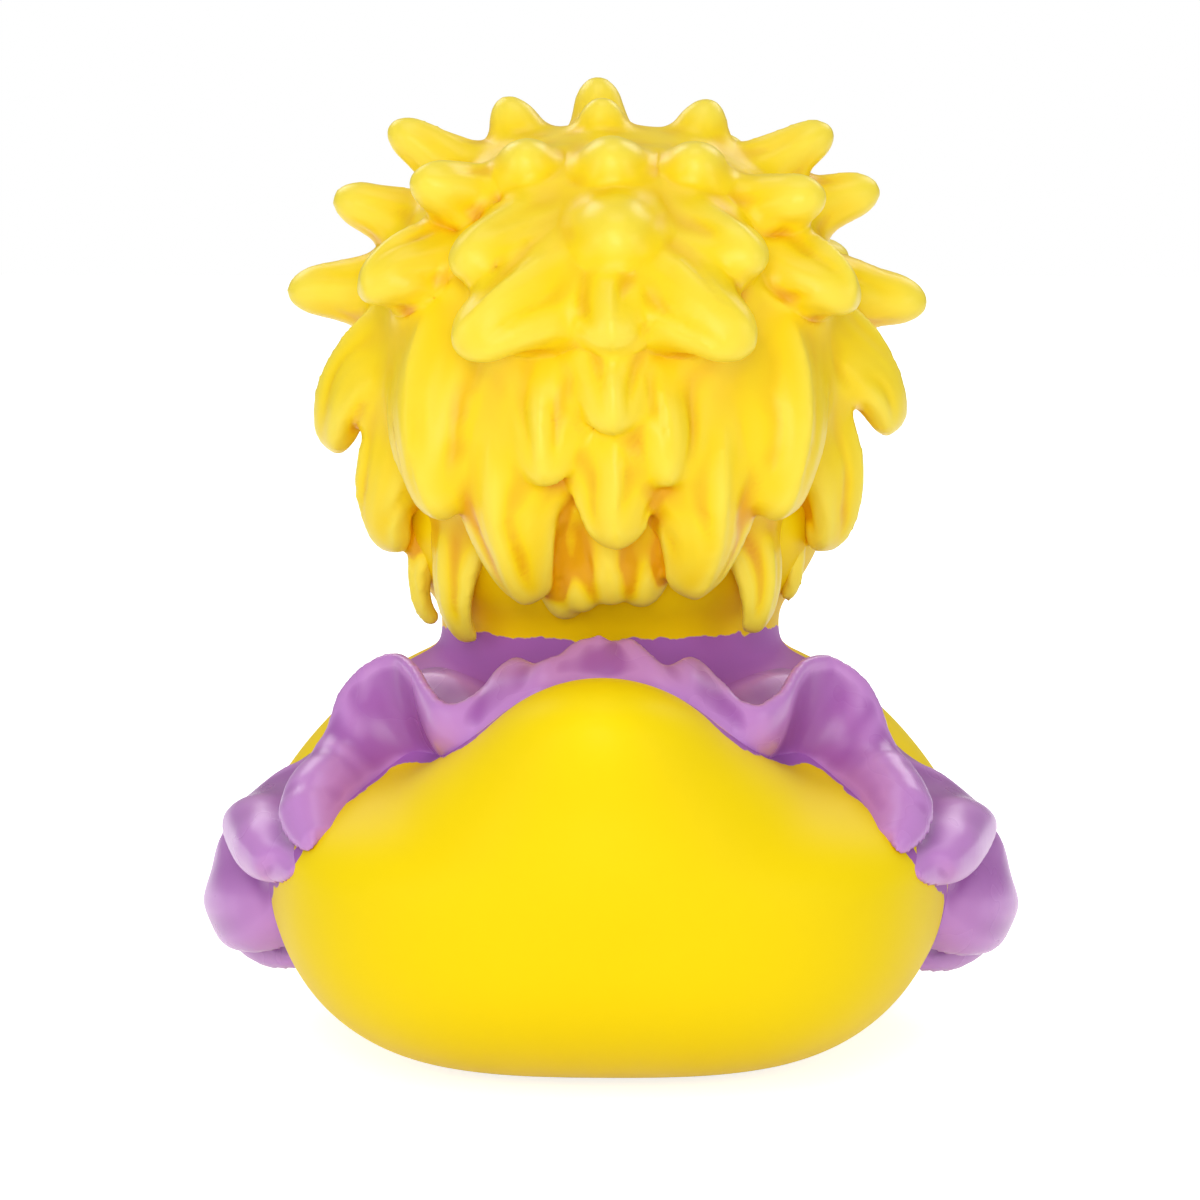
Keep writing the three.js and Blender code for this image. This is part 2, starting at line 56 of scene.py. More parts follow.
CHEST_HALF_LENGTH = 27.0
CHEST_RISE = 23.5
FORM_SHARE = 0.59  # share of the tail's or the rump's length in front of its own middle
BLEND = 13  # how tightly the body's forms flow together, more is tighter
BASE_SHARPNESS = 30.0  # how tightly the belly turns into the flat base
NECK_RADIUS = 17.0
NECK_FOOT = 34.0
NECK_TOP = 52.0
HEAD_MIDDLE = np.array([0.0, -8.0, 59.0])
HEAD_RADIUS = 23.0
RECESS_RADIUS = 9.6
RECESS_TOP = 3.0
HOLE_RADIUS = 8.0
HOLE_TOP = 5.5


def unit(vectors):
    """Each vector divided by its own length."""
    return vectors / np.linalg.norm(vectors, axis=-1, keepdims=True)


def squarish_reach(directions, sizes, squareness):
    """From the middle out to a superellipsoid: the sum of |d / size| ^ n, to the power -1 / n."""
    power = squareness[..., None]
    return (np.abs(directions / sizes) ** power).sum(axis=-1) ** (-1.0 / squareness)


def off_middle_reach(directions, offset, sizes):
    """From a point inside an ellipsoid out to its skin, the larger root of the quadratic."""
    d = directions / sizes
    o = offset / sizes
    a = (d * d).sum(axis=-1)
    b = (d * o).sum(axis=-1)
    return (b + np.sqrt(b * b - a * ((o * o).sum() - 1.0))) / a


def tilted_reach(directions, length, slope, half_width, half_thickness):
    """The same, for an ellipsoid that ends at that length along a line sloping up to the tail."""
    s, c = math.sin(math.radians(slope)), math.cos(math.radians(slope))
    x, y, z = directions[..., 0], directions[..., 1], directions[..., 2]
    turned = np.stack([x, y * c + z * s, z * c - y * s], axis=-1)
    half_length = length * FORM_SHARE
    sizes = np.array([half_width, half_length, half_thickness])
    return off_middle_reach(turned, np.array([0.0, length - half_length, 0.0]), sizes)


def body_reach(directions):
    """Trunk, chest, tail and rump added as their 13th powers, and the 13th root of the sum. The
    trunk grows squarer underneath, by the square of how far the direction points down."""
    squareness = BODY_SQUARENESS + BOTTOM_SQUARING * np.maximum(-directions[..., 2], 0.0) ** 2
    below = np.array([BODY_HALF_WIDTH, BODY_HALF_LENGTH, BODY_BELLY])
    above = np.array([BODY_HALF_WIDTH, BODY_HALF_LENGTH, BODY_BACK])
    belly = squarish_reach(directions, below, squareness)
    back = squarish_reach(directions, above, squareness)
    trunk = np.where(directions[..., 2] < 0.0, belly, back)
    chest_middle = np.array([0.0, -CHEST_FORWARD, 0.0])
    chest_sizes = np.array([CHEST_HALF_WIDTH, CHEST_HALF_LENGTH, CHEST_RISE])
    chest = off_middle_reach(directions, chest_middle, chest_sizes)
    tail = tilted_reach(directions, length=43.5, slope=27.5, half_width=13.0, half_thickness=9.5)
    rump = tilted_reach(directions, length=39.0, slope=16.0, half_width=20.0, half_thickness=13.0)
    return (trunk ** BLEND + chest ** BLEND + tail ** BLEND + rump ** BLEND) ** (1.0 / BLEND)


def sphere_of_directions(rows, columns):
    """Unit vectors on a grid: rows from the lower pole to the upper one, columns once round."""
    up = np.linspace(-math.pi / 2, math.pi / 2, rows)[:, None]
    round_ = np.linspace(0.0, 2 * math.pi, columns, endpoint=False)[None, :]
    x = np.cos(up) * np.cos(round_)
    y = np.cos(up) * np.sin(round_)
    z = np.sin(up) * np.ones_like(round_)
    return np.stack([x, y, z], axis=-1)


def grid_faces(rows, columns, first=0, ring=False):
    """Quads between neighbouring rows and columns; the columns close, and so do a ring's rows."""
    r = np.arange(rows if ring else rows - 1)[:, None]
    c = np.arange(columns)[None, :]
    r1 = (r + 1) % rows
    c1 = (c + 1) % columns
    quads = [r * columns + c, r * columns + c1, r1 * columns + c1, r1 * columns + c]
    return np.stack(quads, axis=-1).reshape(-1, 4) + first


def mesh_object(name, points, faces):
    """An object at the origin from points in millimetres and quads; close points are merged."""
    mesh = bpy.data.meshes.new(name)
    mesh.from_pydata((points.reshape(-1, 3) * MM).tolist(), [], faces.tolist())
    piece = bpy.data.objects.new(name, mesh)
    bpy.context.scene.collection.objects.link(piece)
    weld = piece.modifiers.new("closed poles", "WELD")
    weld.merge_threshold = POLE * MM
    return piece


def several_grids(name, grids, ring=False):
    """One object from several closed grids, each with its own quads."""
    faces = []
    first = 0
    for grid in grids:
        faces.append(grid_faces(grid.shape[0], grid.shape[1], first, ring))
        first += grid.shape[0] * grid.shape[1]
    points = np.concatenate([grid.reshape(-1, 3) for grid in grids])
    return mesh_object(name, points, np.concatenate(faces))


def flow_together(piece, voxel, rounds, factor=0.5):
    """Fuses a piece's closed forms into one skin and rounds its inner corners, for good."""
    fused = piece.modifiers.new("one skin", "REMESH")
    fused.mode = "VOXEL"
    fused.voxel_size = voxel * MM
    fused.use_smooth_shade = True
    rounded = piece.modifiers.new("rounded", "SMOOTH")
    rounded.factor = factor
    rounded.iterations = rounds
    settle(piece)


def settle(piece):
    """Keeps the mesh that the modifiers made, and drops the modifiers."""
    graph = bpy.context.evaluated_depsgraph_get()
    made = bpy.data.meshes.new_from_object(piece.evaluated_get(graph), depsgraph=graph)
    piece.modifiers.clear()
    old = piece.data
    piece.data = made
    made.name = piece.name
    bpy.data.meshes.remove(old)
    piece.data.shade_smooth()


def places(piece):
    """The piece's vertices as an array, in millimetres."""
    flat = np.empty(len(piece.data.vertices) * 3)
    piece.data.vertices.foreach_get("co", flat)
    return flat.reshape(-1, 3) / MM


def facing(piece):
    """The direction that each vertex faces."""
    flat = np.empty(len(piece.data.vertices) * 3)
    piece.data.vertex_normals.foreach_get("vector", flat)
    return flat.reshape(-1, 3)


def move_to(piece, points):
    """Puts the vertices at these places, in millimetres."""
    piece.data.vertices.foreach_set("co", (points * MM).ravel())
    piece.data.update()


def keep_value(piece, name, values):
    """Stores one number per vertex, which the piece's material reads by that name."""
    layer = piece.data.attributes.new(name, "FLOAT", "POINT")
    layer.data.foreach_set("value", values.astype(np.float32))


def neighbour_mean(piece, values, rounds):
    """Each vertex's value replaced by the mean over its neighbours, so many times."""
    ends = np.empty(len(piece.data.edges) * 2, dtype=np.int64)
    piece.data.edges.foreach_get("vertices", ends)
    a, b = ends.reshape(-1, 2).T
    count = np.bincount(a, minlength=len(values)) + np.bincount(b, minlength=len(values))
    for _ in range(rounds):
        total = np.bincount(a, values[b], len(values)) + np.bincount(b, values[a], len(values))
        values = total / np.maximum(count, 1)
    return values


def hollowness(piece, rounds=6):
    """How far the neighbours' mean lies outside a vertex, in hundredths of a millimetre."""
    points = places(piece)
    mean = np.stack([neighbour_mean(piece, points[:, i], 2) for i in range(3)], axis=-1)
    inward = ((mean - points) * facing(piece)).sum(axis=-1) * 100.0
    return neighbour_mean(piece, inward, rounds)


def fill_creases(piece, rounds, how_much=1.0):
    """Raises only what lies below its neighbours' mean, again and again, so that inner corners
    fill up softly and ridges stay as they are; how_much, 0 to 1, may differ by vertex."""
    for _ in range(rounds):
        points, outward = places(piece), facing(piece) * how_much
        for _ in range(4):
            mean = np.stack([neighbour_mean(piece, points[:, i], 1) for i in range(3)], axis=-1)
            below = ((mean - points) * outward).sum(axis=-1, keepdims=True)
            points = points + outward * np.maximum(below, 0.0) * 0.8
        move_to(piece, points)


# The body ends in a flat base: its reach and the way down to the table are added as powers.
body_directions = sphere_of_directions(rows=150, columns=220)
drop = np.maximum(-body_directions[..., 2], 1e-6)
to_table = (BODY_MIDDLE[2] / drop) ** -BASE_SHARPNESS
to_skin = body_reach(body_directions) ** -BASE_SHARPNESS
reach = (to_skin + to_table) ** (-1.0 / BASE_SHARPNESS)
body_grid = BODY_MIDDLE + body_directions * reach[..., None]

head_grid = HEAD_MIDDLE + sphere_of_directions(rows=80, columns=120) * HEAD_RADIUS

neck_level = np.linspace(NECK_FOOT, NECK_TOP, 40)[:, None]
neck_width = np.full_like(neck_level, NECK_RADIUS)
neck_width[[0, -1]] = POLE
around = np.linspace(0.0, 2 * math.pi, 120, endpoint=False)
neck_grid = np.stack([
    neck_width * np.cos(around),
    HEAD_MIDDLE[1] + neck_width * np.sin(around),
    neck_level * np.ones_like(around),
], axis=-1)

skin = several_grids("duck_skin", [body_grid, neck_grid, head_grid])
flow_together(skin, voxel=0.55, rounds=12)

# The neck's own creases are filled up; the rest of the skin keeps its shape.
CREASE_LEVEL = 42.0
CREASE_REACH = 5.0
by_neck = np.exp(-((places(skin)[:, 2:] - CREASE_LEVEL) / CREASE_REACH) ** 4)
fill_creases(skin, 6, by_neck)


def turned(name, profile, around=96):
    """A profile of (radius, height) pairs carried round the upright axis."""
    profile = np.array(profile)
    angle = np.linspace(0.0, 2 * math.pi, around, endpoint=False)
    radius = profile[:, :1]
    grid = np.stack([
        radius * np.cos(angle),
        radius * np.sin(angle),
        profile[:, 1:] * np.ones(around),
    ], axis=-1)
    return mesh_object(name, grid, grid_faces(len(profile), around))


# The base is moulded up into a shallow recess, with a hole in it for the squeaker.
recess = turned("recess_cutter", [
    (POLE, -1.0), (RECESS_RADIUS, -1.0), (RECESS_RADIUS, RECESS_TOP), (HOLE_RADIUS, RECESS_TOP),
    (HOLE_RADIUS, HOLE_TOP), (POLE, HOLE_TOP),
])
settle(recess)
cut = skin.modifiers.new("recess", "BOOLEAN")
cut.operation = "DIFFERENCE"
cut.solver = "EXACT"
cut.object = recess
settle(skin)
bpy.data.objects.remove(recess)


def paint(red, green, blue):
    """A colour as it is seen on screen, 0 to 255, as the linear values that a shader takes."""
    seen = np.array([red, green, blue]) / 255.0
    linear = np.where(seen <= 0.04045, seen / 12.92, ((seen + 0.055) / 1.055) ** 2.4)
    return (*linear.tolist(), 1.0)


def new_group(name, inputs, outputs):
    """A shader node group with named sockets; returns it with its entry and its exit."""
    group = bpy.data.node_groups.new(name, "ShaderNodeTree")
    for socket, kind, value in inputs:
        made = group.interface.new_socket(socket, in_out="INPUT", socket_type=kind)
        if value is not None:
            made.default_value = value
    for socket, kind in outputs:
        group.interface.new_socket(socket, in_out="OUTPUT", socket_type=kind)
    return group, group.nodes.new("NodeGroupInput"), group.nodes.new("NodeGroupOutput")


# Painted shade in hollows and a painted highlight on ridges, with a faint mottle. A Mix node has
# several sockets of the same name, so those for colours go by their number.
MIX_FIRST = 6
MIX_SECOND = 7
MIX_RESULT = 2
shading_group, given, result = new_group(
    "painted_shade_and_highlight",
    [
        ("Colour", "NodeSocketColor", None),
        ("Shade Colour", "NodeSocketColor", None),
        ("Highlight Colour", "NodeSocketColor", None),
        ("Hollow", "NodeSocketFloat", 0.0),
        ("Shade Amount", "NodeSocketFloat", 1.0),
        ("Highlight Amount", "NodeSocketFloat", 1.0),
        ("Mottle Size", "NodeSocketFloat", 90.0),
        ("Mottle", "NodeSocketFloat", 0.06),
    ],
    [("Colour", "NodeSocketColor")],
)
nodes, links = shading_group.nodes, shading_group.links
into_shade = nodes.new("ShaderNodeMath")
into_shade.operation = "MULTIPLY"
into_shade.use_clamp = True
links.new(given.outputs["Hollow"], into_shade.inputs[0])
links.new(given.outputs["Shade Amount"], into_shade.inputs[1])
onto_highlight = nodes.new("ShaderNodeMath")
onto_highlight.operation = "MULTIPLY"
links.new(given.outputs["Hollow"], onto_highlight.inputs[0])
links.new(given.outputs["Highlight Amount"], onto_highlight.inputs[1])
turned_over = nodes.new("ShaderNodeMath")
turned_over.operation = "MULTIPLY"
turned_over.inputs[1].default_value = -1.0
turned_over.use_clamp = True
links.new(onto_highlight.outputs["Value"], turned_over.inputs[0])
shaded_colour = nodes.new("ShaderNodeMix")
shaded_colour.data_type = "RGBA"
links.new(into_shade.outputs["Value"], shaded_colour.inputs["Factor"])
links.new(given.outputs["Colour"], shaded_colour.inputs[MIX_FIRST])
links.new(given.outputs["Shade Colour"], shaded_colour.inputs[MIX_SECOND])
highlighted_colour = nodes.new("ShaderNodeMix")
highlighted_colour.data_type = "RGBA"
links.new(turned_over.outputs["Value"], highlighted_colour.inputs["Factor"])
links.new(shaded_colour.outputs[MIX_RESULT], highlighted_colour.inputs[MIX_FIRST])
links.new(given.outputs["Highlight Colour"], highlighted_colour.inputs[MIX_SECOND])
where = nodes.new("ShaderNodeTexCoord")
cloud = nodes.new("ShaderNodeTexNoise")
cloud.inputs["Detail"].default_value = 3.0
links.new(where.outputs["Object"], cloud.inputs["Vector"])
links.new(given.outputs["Mottle Size"], cloud.inputs["Scale"])
mottle_share = nodes.new("ShaderNodeMath")
mottle_share.operation = "MULTIPLY"
links.new(cloud.outputs["Fac"], mottle_share.inputs[0])
links.new(given.outputs["Mottle"], mottle_share.inputs[1])
mottled = nodes.new("ShaderNodeMix")
mottled.data_type = "RGBA"
links.new(mottle_share.outputs["Value"], mottled.inputs["Factor"])
links.new(highlighted_colour.outputs[MIX_RESULT], mottled.inputs[MIX_FIRST])
links.new(given.outputs["Shade Colour"], mottled.inputs[MIX_SECOND])
links.new(mottled.outputs[MIX_RESULT], result.inputs["Colour"])

# The fine unevenness of a moulded and painted skin: long soft waves and a fine grain.
unevenness, given, result = new_group(
    "moulded_unevenness",
    [
        ("Wave Size", "NodeSocketFloat", 120.0),
        ("Grain Size", "NodeSocketFloat", 1400.0),
        ("Grain", "NodeSocketFloat", 0.15),
    ],
    [("Height", "NodeSocketFloat"), ("Gloss Change", "NodeSocketFloat")],
)
nodes, links = unevenness.nodes, unevenness.links
where = nodes.new("ShaderNodeTexCoord")
waves = nodes.new("ShaderNodeTexNoise")
waves.inputs["Detail"].default_value = 2.0
grain = nodes.new("ShaderNodeTexNoise")
grain.inputs["Detail"].default_value = 2.0
links.new(where.outputs["Object"], waves.inputs["Vector"])
links.new(where.outputs["Object"], grain.inputs["Vector"])
links.new(given.outputs["Wave Size"], waves.inputs["Scale"])
links.new(given.outputs["Grain Size"], grain.inputs["Scale"])
together = nodes.new("ShaderNodeMath")
together.operation = "MULTIPLY_ADD"
links.new(grain.outputs["Fac"], together.inputs[0])
links.new(given.outputs["Grain"], together.inputs[1])
links.new(waves.outputs["Fac"], together.inputs[2])
links.new(together.outputs["Value"], result.inputs["Height"])
gloss = nodes.new("ShaderNodeMapRange")
gloss.inputs["To Min"].default_value = -0.06
gloss.inputs["To Max"].default_value = 0.06
links.new(waves.outputs["Fac"], gloss.inputs["Value"])
links.new(gloss.outputs["Result"], result.inputs["Gloss Change"])


def painted(name, colour, shade_colour, highlight_colour, amounts, finish, wave, grain, depth):
    """A moulded surface: painted shade in the piece's own hollows and a painted highlight on its
    ridges, and its gloss and its height vary a little. Amounts are those of shade, highlight and
    mottle, finish is roughness and shine."""
    made = bpy.data.materials.new(name)
    made.use_nodes = True
    nodes, links = made.node_tree.nodes, made.node_tree.links
    shader = nodes["Principled BSDF"]
    shader.inputs["Specular IOR Level"].default_value = finish[1]
    shading_node = nodes.new("ShaderNodeGroup")
    shading_node.node_tree = shading_group
    shading_node.inputs["Colour"].default_value = colour
    shading_node.inputs["Shade Colour"].default_value = shade_colour
    shading_node.inputs["Highlight Colour"].default_value = highlight_colour
    shading_node.inputs["Shade Amount"].default_value = amounts[0]
    shading_node.inputs["Highlight Amount"].default_value = amounts[1]
    shading_node.inputs["Mottle"].default_value = amounts[2]
    # Per vertex: positive in a hollow, for painted shade, negative on a ridge, for a painted highlight.
    hollow = nodes.new("ShaderNodeAttribute")
    hollow.attribute_name = "hollow"
    links.new(hollow.outputs["Fac"], shading_node.inputs["Hollow"])
    links.new(shading_node.outputs["Colour"], shader.inputs["Base Color"])
    uneven = nodes.new("ShaderNodeGroup")
    uneven.node_tree = unevenness
    uneven.inputs["Wave Size"].default_value = wave
    uneven.inputs["Grain"].default_value = grain
    gloss = nodes.new("ShaderNodeMath")
    gloss.operation = "ADD"
    gloss.inputs[1].default_value = finish[0]
    links.new(uneven.outputs["Gloss Change"], gloss.inputs[0])
    links.new(gloss.outputs["Value"], shader.inputs["Roughness"])
    bump = nodes.new("ShaderNodeBump")
    bump.inputs["Distance"].default_value = depth * MM
    links.new(uneven.outputs["Height"], bump.inputs["Height"])
    links.new(bump.outputs["Normal"], shader.inputs["Normal"])
    return made


def coat(piece, material):
    """Gives the piece this one material."""
    piece.data.materials.clear()
    piece.data.materials.append(material)


# Painted shade in the skin's hollows and a painted highlight on its ridges; the neck right
# under the hair, where the hair's shadow falls, gets more painted shade, as a hollow does.
SHADED_LEVEL = 47.0
SHADED_REACH = 5.0
from_shaded = (places(skin)[:, 2] - SHADED_LEVEL) / SHADED_REACH
keep_value(skin, "hollow", hollowness(skin) + 3.0 * np.exp(-from_shaded ** 2))
skin_paint = painted(
    "yellow_vinyl", paint(255, 222, 0), shade_colour=paint(255, 212, 0), highlight_colour=paint(255, 230, 10),
    amounts=(0.35, 0.1, 0.06), finish=(0.5, 0.12), wave=90.0, grain=0.03, depth=0.05,
)
coat(skin, skin_paint)
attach(skin, "root")
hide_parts("duck_shell")


# THE HAIR
# Relief of the same moulding: a cap with blunt spikes that stand out and locks that hang down.
# Each lock is a tapering form along a bending path, and strand lines run along it.
CAP_MIDDLE = np.array([0.0, -3.0, 68.5])
CAP_RADIUS = 22.5
CAP_SWELL = 1.4  # how far the cap stands out past the radius that the locks are measured from
LOCK_DEPTH = 4.0  # how deep a lock is rooted in the cap
SPIKE_ROUNDNESS = 0.85  # a lock rounder than this is a spike, which stands out and doesn't bend

# Azimuth and elevation of the root, the same of the tip, in degrees from the nape towards +X;
# how far the tip stands out of the cap; the radius at the root and the tip; the roundness,
# which is 1 for a round lock and less for a flat one.
back_locks = [
    (174, 69, 172, 68, 7.7, 5.6, 2.0, 1.0),
    (27, 87, 11, 83, 4.4, 4.8, 2.1, 1.0),
    (98, 69, 105, 67, 6.2, 5.6, 2.0, 1.0),
    (-97, 68, -107, 68, 5.8, 5.6, 2.1, 1.0),
    (46, 60, 28, 53, 5.0, 5.8, 2.8, 1.0),
    (-3, 63, -2, 53, 5.0, 6.2, 3.1, 1.0),
    (-49, 58, -30, 52, 5.0, 5.8, 3.0, 1.0),
    (94, 55, 93, 47, 9.9, 6.0, 2.0, 0.9),
    (-103, 54, -98, 46, 9.9, 6.2, 2.0, 0.9),
    (52, 50, 51, 39, 8.4, 6.2, 2.4, 0.9),
    (-56, 47, -55, 35, 8.8, 6.2, 2.4, 0.9),
    (105, 36, 100, 30, 10.2, 6.2, 2.2, 0.9),
    (-107, 40, -101, 32, 10.0, 6.2, 2.2, 0.9),
    (98, 19, 95, 12, 10.8, 6.8, 2.3, 0.9),
    (-99, 20, -96, 10, 10.0, 6.8, 2.3, 0.9),
    (59, 32, 55, 15, 5.8, 6.4, 2.6, 0.8),
    (-60, 32, -56, 13, 5.8, 6.4, 2.6, 0.8),
    (-3, 38, -3, 30, 6.4, 7.2, 4.2, 1.0),
    (25, 42, 32, 23, 6.8, 7.2, 2.8, 0.9),
    (-28, 41, -34, 24, 7.0, 7.2, 2.7, 0.9),
    (10, 27, 29, 7, 6.6, 7.2, 2.4, 0.8),
    (-12, 27, -29, 7, 6.6, 7.2, 2.4, 0.8),
    (-1, 27, -2, 8, 5.2, 5.8, 2.0, 0.8),
    (78, 9, 87, -18, 5.7, 7.0, 2.0, 0.7),
    (-80, 11, -88, -14, 5.8, 7.0, 1.9, 0.7),
    (70, -12, 78, -41, 5.2, 6.6, 2.1, 0.7),
    (-72, -10, -80, -41, 5.0, 6.6, 2.1, 0.7),
    (-1, 14, -2, -9, 4.4, 6.4, 1.6, 0.7),
    (48, 10, 39, -29, 5.0, 7.6, 2.1, 0.7),
    (-49, 9, -41, -29, 5.0, 7.6, 2.1, 0.7),
    (14, 6, 13, -21, 4.0, 6.6, 1.4, 0.6),
    (-12, 6, -14, -21, 4.0, 6.6, 1.4, 0.6),
    (-2, -6, -3, -35, 4.7, 6.2, 1.9, 0.7),
    (26, -10, 24, -51, 5.2, 7.6, 1.9, 0.7),
    (-27, -10, -26, -49, 5.2, 7.6, 2.0, 0.7),
    (12, -36, 17, -60, 5.0, 5.2, 2.2, 0.9),
    (0, -34, -2, -54, 4.8, 5.6, 2.6, 0.9),
    (-10, -36, -13, -55, 4.8, 5.4, 2.4, 0.9),
    (56, -37, 60, -60, 8.4, 4.6, 1.2, 0.5),
    (-54, -37, -54, -56, 8.2, 4.6, 1.2, 0.5),
    (8, -40, 9, -56, 5.2, 4.4, 2.2, 1.0),
    (76, -36, 82, -56, 8.6, 2.4, 0.9, 0.8),
    (-79, -36, -82, -53, 6.6, 2.2, 0.8, 0.8),
]
front_locks = [
    (140, 52, 142, 46, 7.0, 5.0, 2.0, 0.9),
    (126, 24, 124, 18, 8.0, 5.2, 2.1, 0.9),
    (150, 30, 152, 26, 6.6, 5.0, 2.1, 0.9),
    (106, 2, 108, -8, 6.0, 5.0, 2.3, 0.8),
    (165, 14, 168, -1, 4.6, 5.0, 2.1, 0.8),
    (142, 9, 146, -7, 5.4, 5.0, 2.2, 0.8),
    (118, -10, 122, -28, 7.4, 4.8, 2.2, 0.7),
    (98, -16, 100, -40, 5.0, 4.8, 2.6, 0.7),
]
middle_locks = [
    (180, 48, 180, 42, 7.2, 5.0, 2.0, 1.0),
    (180, 24, 180, 14, 6.4, 5.0, 2.2, 0.8),
]
other_side = [(-lock[0], lock[1], -lock[2], *lock[3:]) for lock in front_locks]
locks = np.array(back_locks + middle_locks + front_locks + other_side, dtype=float)
root_azimuth, root_elevation, tip_azimuth, tip_elevation = locks.T[:4, :, None]
standing, root_radius, tip_radius, roundness = locks.T[4:, :, None]
is_spike = roundness > SPIKE_ROUNDNESS


def heading(azimuth, elevation):
    """Unit vector at an azimuth from +Y towards +X and an elevation, both in degrees."""
    a, e = np.radians(azimuth), np.radians(elevation)
    return np.stack([np.sin(a) * np.cos(e), np.cos(a) * np.cos(e), np.sin(e)], axis=-1)


def lock_axes(t):
    """Every lock's path: direction even from root to tip; distance even too for a spike, and by a
    sine for a flatter lock, so that it bends over and hangs."""
    t = t[None, :]
    azimuth = root_azimuth + (tip_azimuth - root_azimuth) * t
    elevation = root_elevation + (tip_elevation - root_elevation) * t
    root = CAP_RADIUS - LOCK_DEPTH
    rising = np.where(is_spike, t, np.sin(t * math.pi / 2))
    distance = root + (LOCK_DEPTH + standing) * rising
    return CAP_MIDDLE + heading(azimuth, elevation) * distance[..., None]


def lock_frames(t):
    """Along each path, its own direction, the direction out of the hair, which leans upwards, and
    the one across."""
    path = lock_axes(t)
    along = unit(lock_axes(np.minimum(t + 0.02, 1.0)) - lock_axes(np.maximum(t - 0.02, 0.0)))
    outward = unit(path - CAP_MIDDLE) + np.array([0.0, 0.0, 0.7])
    outward = unit(outward - along * (outward * along).sum(axis=-1, keepdims=True))
    return path, along, outward, np.cross(along, outward)


def lock_radii(t, length):
    """The radius falls from root to tip by a power, and closes in a round end, the root of one
    less a square, over 1.3 tip radii."""
    power = np.where(is_spike, 1.35, 1.0)
    eased = tip_radius + (root_radius - tip_radius) * (1.0 - t[None, :]) ** power
    start = np.clip(1.0 - 1.3 * tip_radius / length[:, None], 0.5, 0.95)
    ending = np.clip((t[None, :] - start) / (1.0 - start), 0.0, 1.0)
    return eased * np.sqrt(np.maximum(1.0 - ending ** 2, 0.0))


along_lock = 1.0 - np.linspace(1.0, 0.0, 30) ** 1.3
path, along, outward, across = lock_frames(along_lock)
lock_length = np.linalg.norm(np.diff(path, axis=1), axis=-1).sum(axis=-1)
radius = lock_radii(along_lock, lock_length)[..., None, None]
turn = np.linspace(0.0, 2 * math.pi, 28, endpoint=False)[None, None, :, None]
flatness = (1.0 - roundness)[..., None, None]
flat = 1.0 - flatness * 0.8
wide = 1.0 + flatness * 0.6
# A flatter lock has a ridge down its middle: its outer half is part circle, part gable.
gable = np.clip(2.2 * flatness, 0.0, 0.65)
peaked = np.sin(turn) * (1.0 - gable) + 1.3 * gable * (1.0 - np.abs(np.cos(turn)))
height = np.where(np.sin(turn) > 0.0, peaked, np.sin(turn))
lock_grids = path[:, :, None, :] + radius * (
    across[:, :, None, :] * np.cos(turn) * wide + outward[:, :, None, :] * height * flat
)
cap_grid = CAP_MIDDLE + sphere_of_directions(rows=60, columns=90) * (CAP_RADIUS + CAP_SWELL)
hair = several_grids("hair", [cap_grid, *lock_grids])
flow_together(hair, voxel=0.45, rounds=3)


def strands_of(points):
    """For each point, the lock whose skin is nearest: turn round its path, place along it,
    its own number, and how far the point lies off that skin."""
    t = np.linspace(0.1, 1.0, 16)
    path, along, outward, across = lock_frames(t)
    middles = path.reshape(-1, 3)
    # The radii are read a little short of the tip, where they would close.
    thick = np.broadcast_to(lock_radii(t * 0.92, lock_length), path.shape[:2]).ravel()
    gap = np.empty(len(points))
    pick = np.empty(len(points), dtype=np.int64)
    for part in np.array_split(np.arange(len(points)), 24):
        offset = points[part, None, :] - middles[None, :, :]
        free = np.sqrt((offset ** 2).sum(axis=-1)) - thick
        pick[part] = free.argmin(axis=1)
        gap[part] = free.min(axis=1)
    offset = points - middles[pick]
    side = (offset * across.reshape(-1, 3)[pick]).sum(axis=-1)
    out = (offset * outward.reshape(-1, 3)[pick]).sum(axis=-1)
    forward = (offset * along.reshape(-1, 3)[pick]).sum(axis=-1)
    number = pick // len(t)
    place = t[pick % len(t)] * lock_length[number] + forward
    return np.arctan2(side, out), place, number, gap


def strand_lines(turn, place, number):
    """Rounded ridges with narrow grooves between: |sin| of the turn round the lock, which
    wanders a little with the place along it, plus a finer set."""
    wander = 0.35 * np.sin(place * 0.45 + number * 1.7) + 0.2 * np.sin(place * 0.9 + number)
    broad = np.abs(np.sin(turn * 2.5 + wander + number * 0.9))
    fine = np.abs(np.sin(turn * 7.5 + 1.6 * wander + number * 2.1))
    return 0.75 * broad ** 0.35 + 0.25 * fine ** 0.4


# The creases between the locks are webbed over at the crown and near the roots, and stay open
# between the tips further down.
CROWN_FOOT = 62.0
CROWN_DEPTH = 8.0
turn_round, place, number, off_skin = strands_of(places(hair))
share = place / lock_length[number]
near_root = np.clip((0.7 - share) * 3.0, 0.08, 1.0)
near_crown = np.clip((places(hair)[:, 2] - CROWN_FOOT) / CROWN_DEPTH, 0.0, 1.0)
webbed = neighbour_mean(hair, np.maximum(near_root, near_crown), 4)
fill_creases(hair, 40, webbed[:, None])

# The strand grooves are shallow on round spikes and deeper on flat locks, and run out towards
# the root and the tip.
hair_points = places(hair)
groove_depth = np.clip(share * 2.5 - 0.35, 0.0, 1.0) * np.clip((0.93 - share) * 4.0, 0.0, 1.0)
how_round = roundness[number, 0]
groove_depth *= np.select([how_round > 0.95, how_round > SPIKE_ROUNDNESS], [0.3, 0.6], 0.8)
groove_depth *= np.clip(1.6 - off_skin, 0.0, 1.0)
lines = strand_lines(turn_round, place, number)
groove = neighbour_mean(hair, groove_depth * (1.0 - lines), 1)
move_to(hair, hair_points - facing(hair) * groove[:, None])

